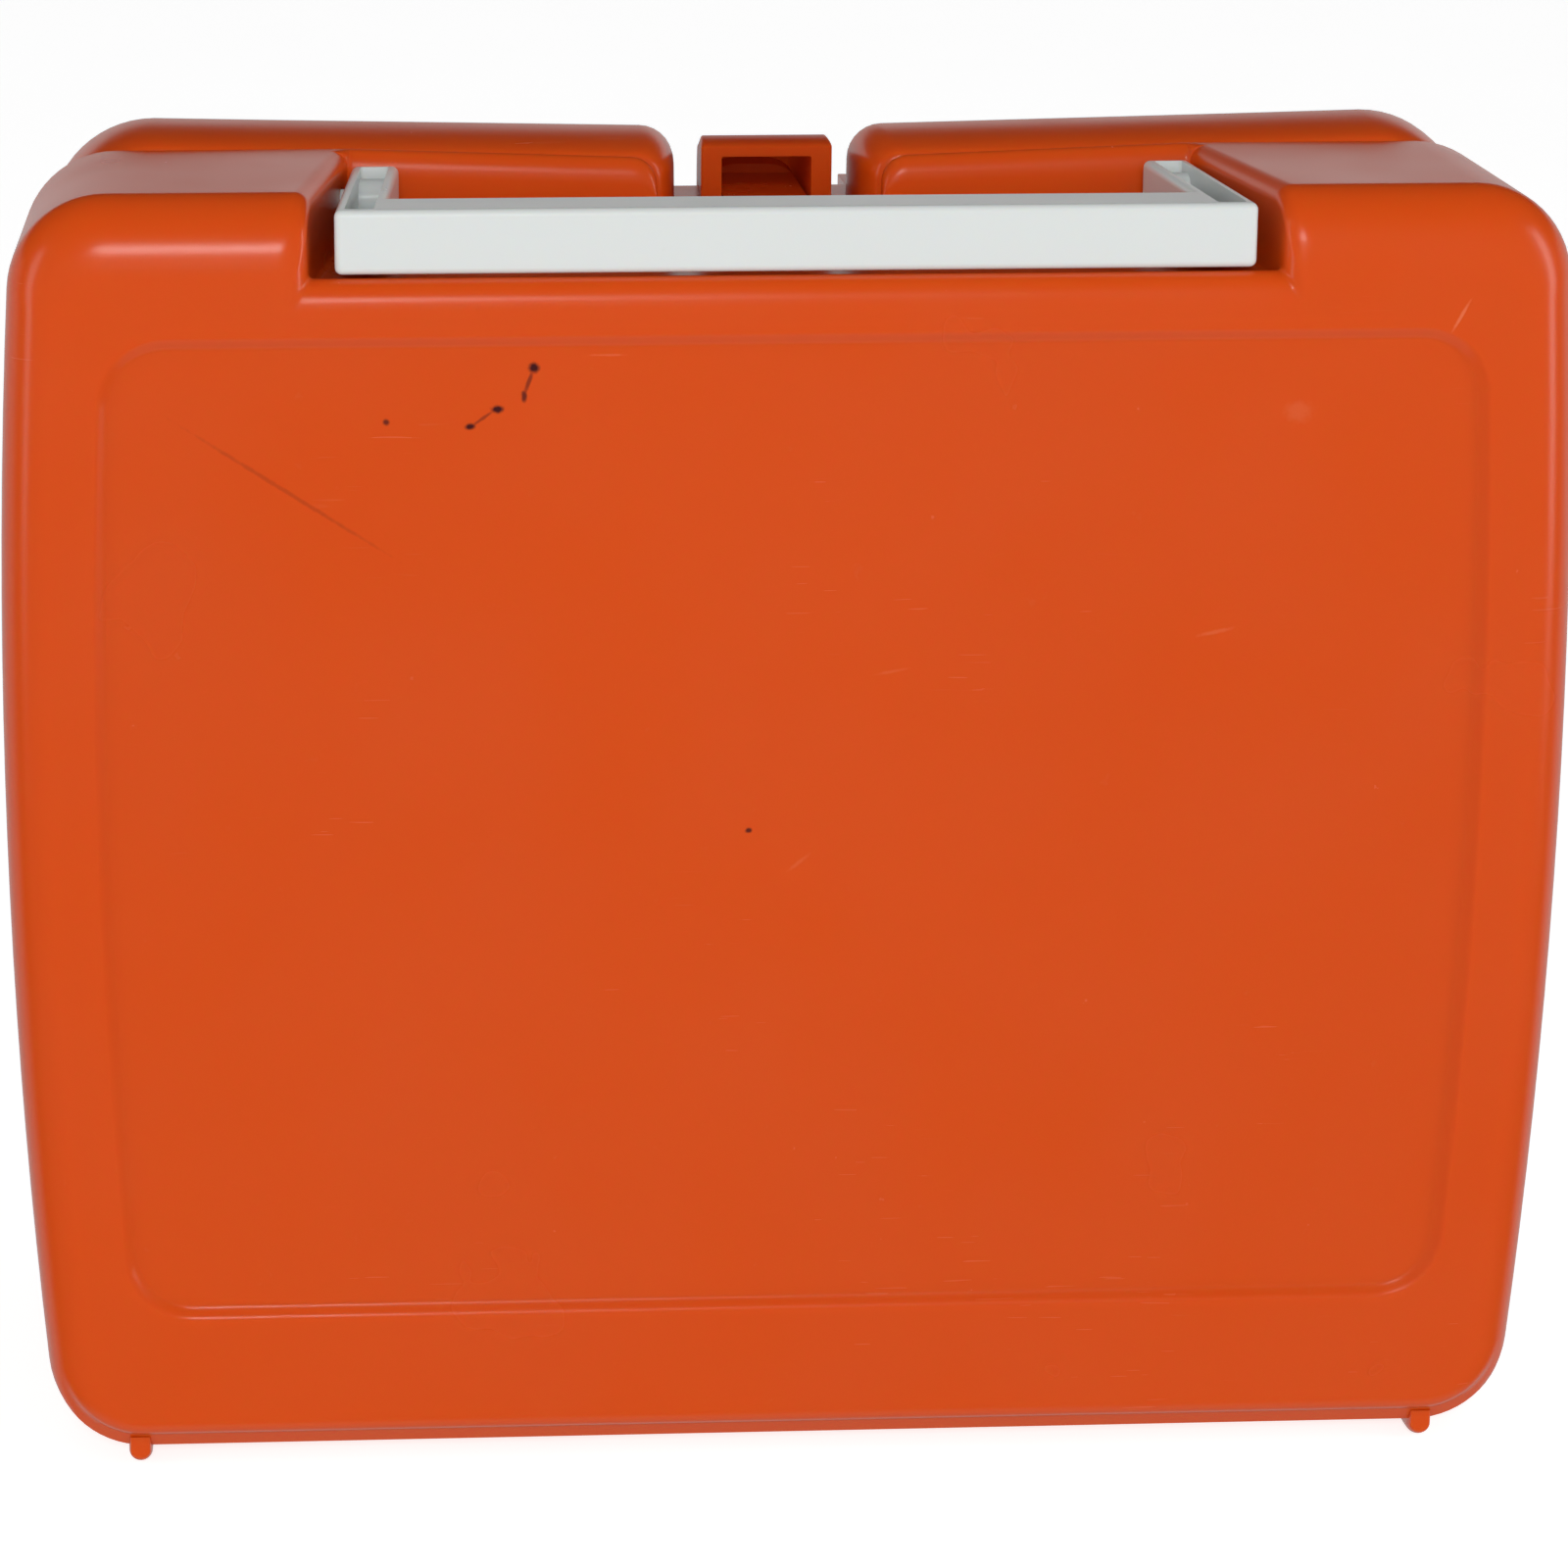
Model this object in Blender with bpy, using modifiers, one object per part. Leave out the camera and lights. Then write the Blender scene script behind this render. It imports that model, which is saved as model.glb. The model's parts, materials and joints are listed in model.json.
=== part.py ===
"""Fleet guessing case: a moulded clamshell case for a two-grid peg game.

It stands closed and upright on its skid ribs, with the carrying handle folded down.
+X is to the right seen from the handle side, +Y runs from the rear shell to the front shell
and +Z is up. The origin is the middle of the footprint, level with the ribs' lower edges.
Every size is in metres.
"""
import math

import bmesh
import bpy
from mathutils import Matrix, Vector

# Driving dimensions of the case
REAR_HALF_WIDTH = 0.1207
FRONT_HALF_WIDTH = 0.1174
CASE_DEPTH = 0.1000
REAR_DEPTH = 0.0517
PARTING_GAP = 0.0003
WALL = 0.0022
LEAST_CORNER = 0.0040
BASE_Z = 0.0031
SHOULDER_Z = 0.2023
COLLAR_Z = 0.2050
GAP = 0.0003
# How far a cutter runs past what it cuts
CUT_MARGIN = 0.0020
SHARP_DEGREES = 32.0
MERGE_DISTANCE = 0.00001

REAR_FACE_Y = -CASE_DEPTH / 2
REAR_RIM_Y = REAR_FACE_Y + REAR_DEPTH
FRONT_FACE_Y = CASE_DEPTH / 2
FRONT_RIM_Y = REAR_RIM_Y + PARTING_GAP
FRONT_DEPTH = FRONT_FACE_Y - FRONT_RIM_Y

# Outline of the moulded faces: bowed sides and round corners
BOW_CENTRE_Z = 0.114
BOW_RADIUS = 1.130
REAR_CORNER_RADIUS = 0.015
FRONT_CORNER_RADIUS = 0.017
BASE_CORNER_RADIUS = 0.015
CORNER_STEPS = 5
SIDE_STEPS = 5
CROWN_X = 0.0665

# Rounding from each face into the walls: its depth, and its reach on the sides and the top
ROUND_DEPTH = 0.0084
ROUND_SIDE = 0.0080
ROUND_TOP = 0.0125
ROUND_STEPS = 6
# Height of the lower edge at each rounding step: a tight lower lip, then the base skirt
LIP_HEIGHTS = (0.0090, 0.0072, 0.0062, 0.0058, BASE_Z, BASE_Z, BASE_Z)
HINGE_RELIEF = 0.0013

# Recessed face panels
PANEL_HALF_WIDTH = 0.1068
PANEL_LOW_Z = 0.0255
PANEL_HIGH_Z = 0.1819
FRONT_PANEL_HIGH_Z = 0.1560
PANEL_RADIUS = 0.0110
PANEL_DEPTH = 0.0012
PANEL_BEVEL = 0.0030

# Handle recess in the rear shell, and the thin rim wall behind it
RECESS_HALF_WIDTH = 0.0736
RECESS_TAPER = 0.1366
RECESS_FLOOR_Z = 0.1883
RECESS_LIP = 0.0032
RECESS_LIP_DROP = 0.0050
RECESS_LIP_Z = 0.1900
RECESS_LIP_FALL = 0.0040
RECESS_FILLET = 0.0035
RIM_WALL = 0.0028
REAR_CROWN_DROP = 0.0024

# Collar of the front shell and the notch for the latch
COLLAR_CREST_Y = REAR_FACE_Y + 0.0685
COLLAR_LENGTH = COLLAR_CREST_Y - FRONT_RIM_Y
COLLAR_DROP = 0.0030
COLLAR_STEPS = 4
COLLAR_SET_IN = 0.0015
FRONT_TOP_DRAFT = 0.0045
FRONT_CROWN_DROP = 0.0021
NOTCH_FLOOR_Z = 0.1903
# The notch is narrowest at the collar's crest, and wider at the rim and at the front face
NOTCH_HALF_WIDTH = 0.0141
NOTCH_FLARE = 0.0038
NOTCH_FRONT_HALF_WIDTH = 0.0182
NOTCH_CORNER = 0.0055
NOTCH_TOP_Z = 0.2034
RIM_NOTCH_CORNER = 0.0040
REAR_NOTCH_TOP_Z = SHOULDER_Z - 0.0017
LATCH_WELL_Y = REAR_FACE_Y + 0.0880
LATCH_WELL_Z = 0.1630
LATCH_WELL_HALF_WIDTH = 0.0160

# Latch flap and its catch tongue
LATCH_HALF_WIDTH = 0.0105
LATCH_WALL = 0.0033
LATCH_REAR_Y = REAR_FACE_Y + 0.0560
LATCH_CREST_Y = REAR_FACE_Y + 0.0625
LATCH_CREST_Z = 0.2024
LATCH_REAR_DROP = 0.0010
LATCH_SLOPE = 0.195
LATCH_FRONT_Y = FRONT_FACE_Y - 0.0006
LATCH_PLATE = 0.0026
LATCH_ROOF = 0.0016
LATCH_HINGE_Y = FRONT_FACE_Y - 0.0060
LATCH_HINGE_Z = 0.1690
LATCH_HEEL = 0.0050
LATCH_ROUND = 0.0078
LATCH_POCKET_Z = LATCH_HINGE_Z + 0.0060
TONGUE_HALF_WIDTH = 0.0067
TONGUE_END_Y = REAR_FACE_Y + 0.0900
TONGUE_TOP_Z = 0.1932
CATCH_START_Y = REAR_FACE_Y + 0.0826
CATCH_TOP_Z = 0.1948
CATCH_STEPS = 8
CATCH_CROWN_POWER = 4

# Carrying handle
HANDLE_FRONT_HALF = 0.0693
HANDLE_REAR_HALF = 0.0663
HANDLE_LOW_Z = 0.1905
HANDLE_HIGH_Z = 0.2003
HANDLE_FRONT_Y = REAR_FACE_Y + 0.0024
HANDLE_REAR_Y = REAR_FACE_Y + 0.0467
GRIP_DEPTH = 0.0120
ARM_WIDTH = 0.0074
ARM_WALL = 0.0015
ARM_FLOOR = 0.0025
HANDLE_EDGE = 0.0005
HANDLE_EDGE_DEGREES = 60
HANDLE_AXIS_Y = REAR_FACE_Y + 0.0415
HANDLE_AXIS_Z = 0.1958
HANDLE_BOSS_RADIUS = 0.0032
PIVOT_RADIUS = 0.0016
PIVOT_INNER_X = 0.0615
PIVOT_OUTER_X = 0.0702

# Hinge along the bottom of the parting line
HINGE_Y = (REAR_RIM_Y + FRONT_RIM_Y) / 2
HINGE_Z = 0.0040
HINGE_X = 0.060
KNUCKLE_RADIUS = 0.0036
KNUCKLE_LENGTH = 0.0090
KNUCKLE_GAP = 0.0005
KNUCKLE_PLACES = (-1, 0, 1)
HINGE_PIN_RADIUS = 0.0013

# Skid ribs that the case stands on
RIB_X = 0.1022
RIB_HALF_WIDTH = 0.00185
RIB_INSET = 0.0027
RIB_HINGE_GAP = 0.0062
RIB_END_LENGTH = 0.0065
RIB_END_RISE = 0.0013
RIB_END_STEPS = 3
# An odd count of steps leaves the ribs a narrow flat to stand on
RIB_STEPS = 5

# Peg grids, their screws, ships and pegs
GRID_ROWS = 10
PITCH = 0.0145
GRID_CENTRE_X = -0.0380
GRID_CENTRE_Z = 0.0970
HOLE_RADIUS = 0.00185
HOLE_SIDES = 6
PLATE = 0.0020
PLATE_INSET = 0.0028
OCEAN_Y = REAR_FACE_Y + 0.0420
TARGET_Y = REAR_FACE_Y + 0.0630
STORE_COLUMNS = (1, 3)
POST_RADIUS = 0.0040
POST_X = {"ocean": 0.1060, "target": 0.1020}
POST_HEIGHTS = (0.0200, 0.1740)
POST_ROOT = PANEL_DEPTH + WALL / 2
SCREW_RADIUS = 0.0013
SCREW_LENGTH = 0.0090
SCREW_TIP = 0.0015
SCREW_ROOM = 0.0010
SCREW_BORE_RADIUS = 0.0017
SCREW_HEAD_RADIUS = 0.0029
SCREW_HEAD_HEIGHT = 0.0018
SCREW_HEAD_EDGE = 0.0007
# Where the head's dome turns, as shares of its radius and its height
SCREW_HEAD_DOME = (0.70, 0.85)
PEG_SHANK_RADIUS = 0.0012
PEG_SHANK_LENGTH = 0.0042
PEG_HEAD_RADIUS = 0.0021
PEG_HEAD_HEIGHT = 0.0036
PEG_CHAMFER = 0.0006
STORE_ROWS = (2, 3, 4, 5, 6, 7)

# Ships. A hull level is its height and the share of the full beam there
HULL_HALF_BEAM = 0.0044
HULL_LEVELS = ((0.0, 0.86), (0.0018, 0.95), (0.0062, 1.0))
HULL_OVERHANG = 0.0115
HULL_RAKE = 0.03
BOW_LENGTH = 0.0070
BOW_SHOULDER = (0.0030, 0.60)
STERN_CORNER = (0.0030, 0.55)
SHIP_HOLE_FLOOR = 0.0022
DECKHOUSE_HALF_WIDTH = 0.0021
DECKHOUSE_BASE = 0.0050
DECKHOUSE_TAPER = 0.82
PLUG_OVERLAP = 0.0008
# Name, holes, first hole, upright, and its deckhouse: centre in pitches, half length, top
SHIPS = (
    ("ship_five_holes", 5, (1, 8), False, 0.5, 0.0038, 0.0092),
    ("ship_four_holes", 4, (0, 2), True, 0.0, 0.0042, 0.0090),
    ("ship_three_holes_a", 3, (5, 5), False, 0.5, 0.0034, 0.0084),
    ("ship_three_holes_b", 3, (8, 1), True, -0.5, 0.0028, 0.0078),
    ("ship_two_holes", 2, (3, 1), False, 0.0, 0.0034, 0.0082),
)

ORANGE = (0.604, 0.074, 0.008)
HANDLE_WHITE = (0.617, 0.658, 0.672)
GRID_BLUE = (0.030, 0.110, 0.300)
SHIP_GREY = (0.230, 0.250, 0.270)
PEG_WHITE = (0.800, 0.800, 0.770)
PEG_RED = (0.550, 0.020, 0.015)
STEEL = (0.560, 0.570, 0.580)

COLLECTION_NAME = "fleet_guessing_case"


def clear_scene():
    """Remove every object, so that the script gives the same model each time."""
    for old in list(bpy.data.objects):
        bpy.data.objects.remove(old, do_unlink=True)


def make_collection(name):
    """A collection linked to the scene."""
    collection = bpy.data.collections.new(name)
    bpy.context.scene.collection.children.link(collection)
    return collection


def make_material(name, colour, roughness, metallic=0.0):
    """A Principled material with one colour."""
    material = bpy.data.materials.new(name)
    material.use_nodes = True
    shader = material.node_tree.nodes["Principled BSDF"]
    shader.inputs["Base Color"].default_value = (*colour, 1.0)
    shader.inputs["Roughness"].default_value = roughness
    shader.inputs["Metallic"].default_value = metallic
    return material


def object_from_bmesh(name, bm):
    """An object in the part's collection that holds a bmesh whose faces point out."""
    bmesh.ops.recalc_face_normals(bm, faces=bm.faces)
    mesh = bpy.data.meshes.new(name)
    bm.to_mesh(mesh)
    bm.free()
    made = bpy.data.objects.new(name, mesh)
    bpy.data.collections[COLLECTION_NAME].objects.link(made)
    return made


def loft(name, rings):
    """A closed solid through rings of equal point count, capped at both ends."""
    bm = bmesh.new()
    loops = [[bm.verts.new(point) for point in ring] for ring in rings]
    count = len(rings[0])
    for lower, upper in zip(loops, loops[1:]):
        for index in range(count):
            following = (index + 1) % count
            bm.faces.new((lower[index], lower[following], upper[following], upper[index]))
    bm.faces.new(loops[0])
    bm.faces.new(loops[-1])
    return object_from_bmesh(name, bm)


def box(name, low, high):
    """A box between two corners."""
    low = Vector(low)
    high = Vector(high)
    bm = bmesh.new()
    bmesh.ops.create_cube(bm, size=1.0)
    bmesh.ops.scale(bm, vec=high - low, verts=bm.verts)
    bmesh.ops.translate(bm, vec=(low + high) / 2, verts=bm.verts)
    return object_from_bmesh(name, bm)


def rod(name, start, end, radius, sides):
    """A straight rod between two points."""
    start = Vector(start)
    along = Vector(end) - start
    turn = along.to_track_quat("Z", "Y").to_matrix().to_4x4()
    place = Matrix.Translation(start + along / 2) @ turn
    bm = bmesh.new()
    bmesh.ops.create_cone(
        bm,
        cap_ends=True,
        segments=sides,
        radius1=radius,
        radius2=radius,
        depth=along.length,
        matrix=place,
    )
    return object_from_bmesh(name, bm)


def combine(target, operation, *tools):
    """Apply one Boolean of target with each tool in turn, and remove the tools."""
    for tool in tools:
        modifier = target.modifiers.new(operation.lower(), "BOOLEAN")
        modifier.operation = operation
        modifier.solver = "EXACT"
        modifier.object = tool
        evaluated = target.evaluated_get(bpy.context.evaluated_depsgraph_get())
        result = bpy.data.meshes.new_from_object(evaluated)
        target.modifiers.clear()
        target.data = result
        bpy.data.objects.remove(tool, do_unlink=True)
    return target


def cut(target, *tools):
    """Take the tools away from the target."""
    return combine(target, "DIFFERENCE", *tools)


def join(target, *tools):
    """Fuse the tools into the target."""
    return combine(target, "UNION", *tools)


def common(target, tool):
    """Keep only what the target shares with the tool."""
    return combine(target, "INTERSECT", tool)


def finish(part, material):
    """Give a part its material and smooth its round faces."""
    part.data.materials.clear()
    part.data.materials.append(material)
    part.data.shade_smooth()
    part.data.set_sharp_from_angle(angle=math.radians(SHARP_DEGREES))
    return part


def set_origin(part, point):
    """Put an object's origin on its joint axis without moving its mesh in the world."""
    point = Vector(point)
    part.data.transform(Matrix.Translation(-point))
    part.location = point


def arc_angles(start, end, steps):
    """Evenly spaced angles from start to end."""
    return [start + (end - start) * index / steps for index in range(steps + 1)]


def side_x(half_width, z):
    """Distance of the bowed side from the middle plane at height z."""
    return half_width - (z - BOW_CENTRE_Z) ** 2 / (2 * BOW_RADIUS)


def corner(half_width, centre_z, radius, end_angle):
    """A corner's arc as (x, z) points, from where it leaves the bowed side to end_angle."""
    tilt = math.asin((centre_z - BOW_CENTRE_Z) / BOW_RADIUS)
    centre_x = side_x(half_width, centre_z + radius * math.sin(tilt)) - radius * math.cos(tilt)
    return [
        (centre_x + radius * math.cos(angle), centre_z + radius * math.sin(angle))
        for angle in arc_angles(tilt, end_angle, CORNER_STEPS)
    ]


def outline(half_width, low_z, high_z, low_radius, high_radius, drop=0.0, drop_x=CROWN_X):
    """A closed face outline as (x, z) points, with its top dipping by drop at the middle."""
    low_corner = corner(half_width, low_z + low_radius, low_radius, -math.pi / 2)
    high_corner = corner(half_width, high_z - high_radius, high_radius, math.pi / 2)
    side_low_z = low_corner[0][1]
    side_high_z = high_corner[0][1]
    side = []
    for step in range(1, SIDE_STEPS):
        z = side_low_z + (side_high_z - side_low_z) * step / SIDE_STEPS
        side.append((side_x(half_width, z), z))
    crown_z = high_z - drop * max(0.0, 1 - CROWN_X / drop_x)
    right = low_corner[::-1] + side + high_corner + [(CROWN_X, crown_z)]
    left = [(-x, z) for x, z in reversed(right)]
    return right + [(0.0, high_z - drop)] + left


def at_y(points, y):
    """The (x, z) points as a ring in the plane at y."""
    return [Vector((x, y, z)) for x, z in points]


def face_round(step):
    """Depth and shrink share of one step of the rounding around a face."""
    angle = math.pi / 2 * step / ROUND_STEPS
    return ROUND_DEPTH * (1 - math.cos(angle)), 1 - math.sin(angle)


def panel_rings(y_of, high_z):
    """Rings of a recessed panel, from its floor out to its edge."""
    edge = outline(PANEL_HALF_WIDTH, PANEL_LOW_Z, high_z, PANEL_RADIUS, PANEL_RADIUS)
    radius = PANEL_RADIUS - PANEL_BEVEL
    floor = outline(
        PANEL_HALF_WIDTH - PANEL_BEVEL,
        PANEL_LOW_Z + PANEL_BEVEL,
        high_z - PANEL_BEVEL,
        radius,
        radius,
    )
    return [at_y(floor, y_of(PANEL_DEPTH)), at_y(edge, y_of(0.0))]


def wall_ring(y_of, depth, inset, half_width, low_z, high_z, high_radius, shrink, drop, drop_x):
    """One ring of a shell's wall, shrunk towards its face and set in by inset."""
    side = ROUND_SIDE * shrink
    return at_y(
        outline(
            half_width - side - inset,
            low_z + inset,
            high_z - ROUND_TOP * shrink - inset,
            max(BASE_CORNER_RADIUS - side - inset, LEAST_CORNER),
            max(high_radius - side - inset, LEAST_CORNER),
            drop,
            drop_x,
        ),
        y_of(depth),
    )


def rear_solid(name, inset):
    """The rear shell's outer form, or with an inset the hollow inside it."""

    def y_of(depth):
        return REAR_FACE_Y + depth

    sizes = {
        "half_width": REAR_HALF_WIDTH,
        "high_z": SHOULDER_Z,
        "high_radius": REAR_CORNER_RADIUS,
        "drop": REAR_CROWN_DROP,
        "drop_x": CROWN_X,
    }
    face_depth = inset + (PANEL_DEPTH if inset else 0.0)
    rings = [] if inset else panel_rings(y_of, PANEL_HIGH_Z)
    for step, low_z in enumerate(LIP_HEIGHTS):
        depth, shrink = face_round(step)
        rings.append(wall_ring(y_of, face_depth + depth, inset, low_z=low_z, shrink=shrink, **sizes))
    if inset:
        rings.append(wall_ring(y_of, REAR_DEPTH + 2 * WALL, inset, low_z=BASE_Z, shrink=0.0, **sizes))
    else:
        rings.append(wall_ring(y_of, REAR_DEPTH - HINGE_RELIEF, 0.0, low_z=BASE_Z, shrink=0.0, **sizes))
        relieved = BASE_Z + HINGE_RELIEF
        rings.append(wall_ring(y_of, REAR_DEPTH, 0.0, low_z=relieved, shrink=0.0, **sizes))
    return loft(name, rings)


def recess_floor_height(depth):
    """Floor height of the handle recess: a proud round lip, then a fillet at the rim wall."""
    if depth < RECESS_LIP:
        across = 1 - depth / RECESS_LIP
        return RECESS_LIP_Z - RECESS_LIP_DROP * (1 - math.sqrt(max(0.0, 1 - across * across)))
    if depth < RECESS_LIP + RECESS_LIP_FALL:
        share = (depth - RECESS_LIP) / RECESS_LIP_FALL
        return RECESS_LIP_Z - (RECESS_LIP_Z - RECESS_FLOOR_Z) * share
    fillet_start = REAR_DEPTH - RIM_WALL - RECESS_FILLET
    if depth > fillet_start:
        across = min(1.0, (depth - fillet_start) / RECESS_FILLET)
        return RECESS_FLOOR_Z + RECESS_FILLET * (1 - math.sqrt(1 - across * across))
    return RECESS_FLOOR_Z


def recess_cutter(grow, back_depth):
    """The handle recess as a solid, grown by a wall for the hollow's side."""
    lip = [RECESS_LIP * (1 - math.cos(angle)) for angle in arc_angles(0, math.pi / 2, 3)]
    fillet_start = REAR_DEPTH - RIM_WALL - RECESS_FILLET
    fillet = [fillet_start + RECESS_FILLET * math.sin(angle) for angle in arc_angles(0, math.pi / 2, 3)]
    depths = [-GAP] + lip + [RECESS_LIP + RECESS_LIP_FALL]
    depths += [depth for depth in fillet if depth < back_depth] + [back_depth]
    rings = []
    for depth in depths:
        half = RECESS_HALF_WIDTH - RECESS_TAPER * max(depth, 0.0) + grow
        floor_z = recess_floor_height(max(depth, 0.0)) - grow
        corners = [(half, floor_z), (half, COLLAR_Z), (-half, COLLAR_Z), (-half, floor_z)]
        rings.append(at_y(corners, REAR_FACE_Y + depth))
    return loft("recess_cutter", rings)


def notch_outline(half_width, corner_radius, top_z, floor_z):
    """The latch notch's outline as (x, z) points, flaring round at the top."""
    right = [(half_width, floor_z)]
    for angle in arc_angles(math.pi, math.pi / 2, 4):
        x = half_width + corner_radius * (1 + math.cos(angle))
        right.append((x, top_z - corner_radius * (1 - math.sin(angle))))
    right.append((half_width + corner_radius, COLLAR_Z + 2 * CUT_MARGIN))
    return right + [(-x, z) for x, z in reversed(right)]


def rim_share(y):
    """How far the collar's rounding has come at y, from 0 at its crest to 1 at the rim."""
    across = min(1.0, max(0.0, COLLAR_CREST_Y - y) / COLLAR_LENGTH)
    return 1 - math.sqrt(1 - across * across)


def notch_half(y):
    """Half width of the latch notch at y."""
    front = max(0.0, y - COLLAR_CREST_Y) / (FRONT_FACE_Y - COLLAR_CREST_Y)
    widening = (NOTCH_FRONT_HALF_WIDTH - NOTCH_HALF_WIDTH) * front
    return NOTCH_HALF_WIDTH + NOTCH_FLARE * rim_share(y) + widening


def top_fall(y):
    """How far the front shell's top lies below the collar's crest at y."""
    draft_length = FRONT_FACE_Y - ROUND_DEPTH - COLLAR_CREST_Y
    front = max(0.0, y - COLLAR_CREST_Y) / draft_length
    return COLLAR_DROP * rim_share(y) + FRONT_TOP_DRAFT * front


def rear_notch_cutter():
    """The notch in the rear shell's rim wall."""
    half = notch_half(FRONT_RIM_Y)
    points = notch_outline(half, RIM_NOTCH_CORNER, REAR_NOTCH_TOP_Z, NOTCH_FLOOR_Z)
    return loft("rear_notch", [at_y(points, REAR_RIM_Y - 2 * RIM_WALL), at_y(points, REAR_RIM_Y + WALL)])


def front_notch_cutter(grow):
    """The notch through the front shell, flaring with the collar's rounding at the rim."""
    ys = [FRONT_RIM_Y - CUT_MARGIN]
    for angle in arc_angles(0, math.pi / 2, COLLAR_STEPS):
        ys.append(COLLAR_CREST_Y - COLLAR_LENGTH * math.cos(angle))
    ys.append(FRONT_FACE_Y + CUT_MARGIN)
    rings = []
    for y in ys:
        radius = NOTCH_CORNER + (RIM_NOTCH_CORNER - NOTCH_CORNER) * rim_share(y)
        top_z = NOTCH_TOP_Z - top_fall(y)
        points = notch_outline(notch_half(y) + grow, radius, top_z, NOTCH_FLOOR_Z - grow)
        rings.append(at_y(points, y))
    return loft("front_notch", rings)


def latch_well_cutter(grow):
    """The well in the front face that the latch flap hangs in."""
    half = LATCH_WELL_HALF_WIDTH + grow
    low = (-half, LATCH_WELL_Y - grow, LATCH_WELL_Z - grow)
    high = (half, FRONT_FACE_Y + CUT_MARGIN, NOTCH_FLOOR_Z + CUT_MARGIN)
    return box("latch_well", low, high)


def front_solid(name, inset):
    """The front shell's outer form with its proud round collar, or the hollow inside it."""

    def y_of(depth):
        return FRONT_FACE_Y - depth

    def ring(depth, low_z, high_z, shrink=0.0, side_inset=0.0):
        sizes = {
            "half_width": FRONT_HALF_WIDTH - side_inset,
            "high_radius": FRONT_CORNER_RADIUS,
            "drop": FRONT_CROWN_DROP,
            "drop_x": FRONT_HALF_WIDTH - FRONT_CORNER_RADIUS,
        }
        return wall_ring(y_of, depth, inset, low_z=low_z, high_z=high_z, shrink=shrink, **sizes)

    face_depth = inset + (PANEL_DEPTH if inset else 0.0)
    face_high_z = COLLAR_Z - FRONT_TOP_DRAFT
    rings = [] if inset else panel_rings(y_of, FRONT_PANEL_HIGH_Z)
    for step, low_z in enumerate(LIP_HEIGHTS):
        depth, shrink = face_round(step)
        rings.append(ring(face_depth + depth, low_z, face_high_z, shrink))
    collar_depth = FRONT_FACE_Y - COLLAR_CREST_Y
    rings.append(ring(collar_depth, BASE_Z, COLLAR_Z))
    if inset:
        past_rim = FRONT_DEPTH + 2 * WALL
        rings.append(ring(past_rim, BASE_Z, COLLAR_Z - COLLAR_DROP, side_inset=COLLAR_SET_IN))
        return loft(name, rings)
    for angle in arc_angles(math.pi / 2, 0, COLLAR_STEPS)[1:]:
        share = 1 - math.sin(angle)
        depth = collar_depth + COLLAR_LENGTH * math.cos(angle)
        low_z = BASE_Z + HINGE_RELIEF * share
        rings.append(ring(depth, low_z, COLLAR_Z - COLLAR_DROP * share, side_inset=COLLAR_SET_IN * share))
    return loft(name, rings)


def rear_core(inset):
    """The space inside the rear shell, at an inset from its outer form."""
    core = rear_solid("rear_core", inset)
    return cut(core, recess_cutter(inset, REAR_DEPTH + 3 * WALL))


def front_core(inset):
    """The space inside the front shell, at an inset from its outer form."""
    core = front_solid("front_core", inset)
    return cut(core, front_notch_cutter(inset), latch_well_cutter(inset))


def hinge_spans(side):
    """The x ranges of one hinge's knuckles: two on the rear shell, and the front's between."""
    centre = side * HINGE_X
    pitch = KNUCKLE_LENGTH + KNUCKLE_GAP
    middles = [centre + pitch * place for place in KNUCKLE_PLACES]
    spans = [(middle - KNUCKLE_LENGTH / 2, middle + KNUCKLE_LENGTH / 2) for middle in middles]
    return [spans[0], spans[2]], [spans[1]]


def along_x(name, span, y, z, radius, sides):
    """A rod along X over a span."""
    return rod(name, (span[0], y, z), (span[1], y, z), radius, sides)


def add_knuckles(shell, own_spans, other_spans):
    """Fuse a shell's hinge knuckles on, bore them, and clear room for the other shell's."""
    clearance = KNUCKLE_RADIUS + 2 * GAP
    for span in other_spans:
        wide = (span[0] - KNUCKLE_GAP, span[1] + KNUCKLE_GAP)
        cut(shell, along_x("relief", wide, HINGE_Y, HINGE_Z, clearance, 16))
    for span in own_spans:
        join(shell, along_x("knuckle", span, HINGE_Y, HINGE_Z, KNUCKLE_RADIUS, 16))
    for span in own_spans:
        wide = (span[0] - GAP, span[1] + GAP)
        cut(shell, along_x("bore", wide, HINGE_Y, HINGE_Z, HINGE_PIN_RADIUS + GAP, 10))


def rib_ring(x, y, rise):
    """One ring of a skid rib, with its round lower edge raised."""
    radius = RIB_HALF_WIDTH
    centre_z = radius * math.cos(math.pi / (2 * RIB_STEPS)) + rise
    points = [(x + radius, BASE_Z + WALL / 2)]
    for angle in arc_angles(0, -math.pi, RIB_STEPS):
        points.append((x + radius * math.cos(angle), centre_z + radius * math.sin(angle)))
    points.append((x - radius, BASE_Z + WALL / 2))
    return at_y(points, y)


def skid_rib(x, face_end_y, hinge_end_y):
    """One skid rib under a shell, whose lower edge rises round at the end near the face."""
    inward = 1 if hinge_end_y > face_end_y else -1
    rings = []
    for angle in arc_angles(0, math.pi / 2, RIB_END_STEPS):
        y = face_end_y + inward * RIB_END_LENGTH * (1 - math.cos(angle))
        rings.append(rib_ring(x, y, RIB_END_RISE * (1 - math.sin(angle))))
    rings.append(rib_ring(x, hinge_end_y, 0.0))
    return loft("skid_rib", rings)


def post_places(which):
    """The (x, z) places of a grid's four screw posts."""
    return [(side * POST_X[which], z) for side in (-1, 1) for z in POST_HEIGHTS]


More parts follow.
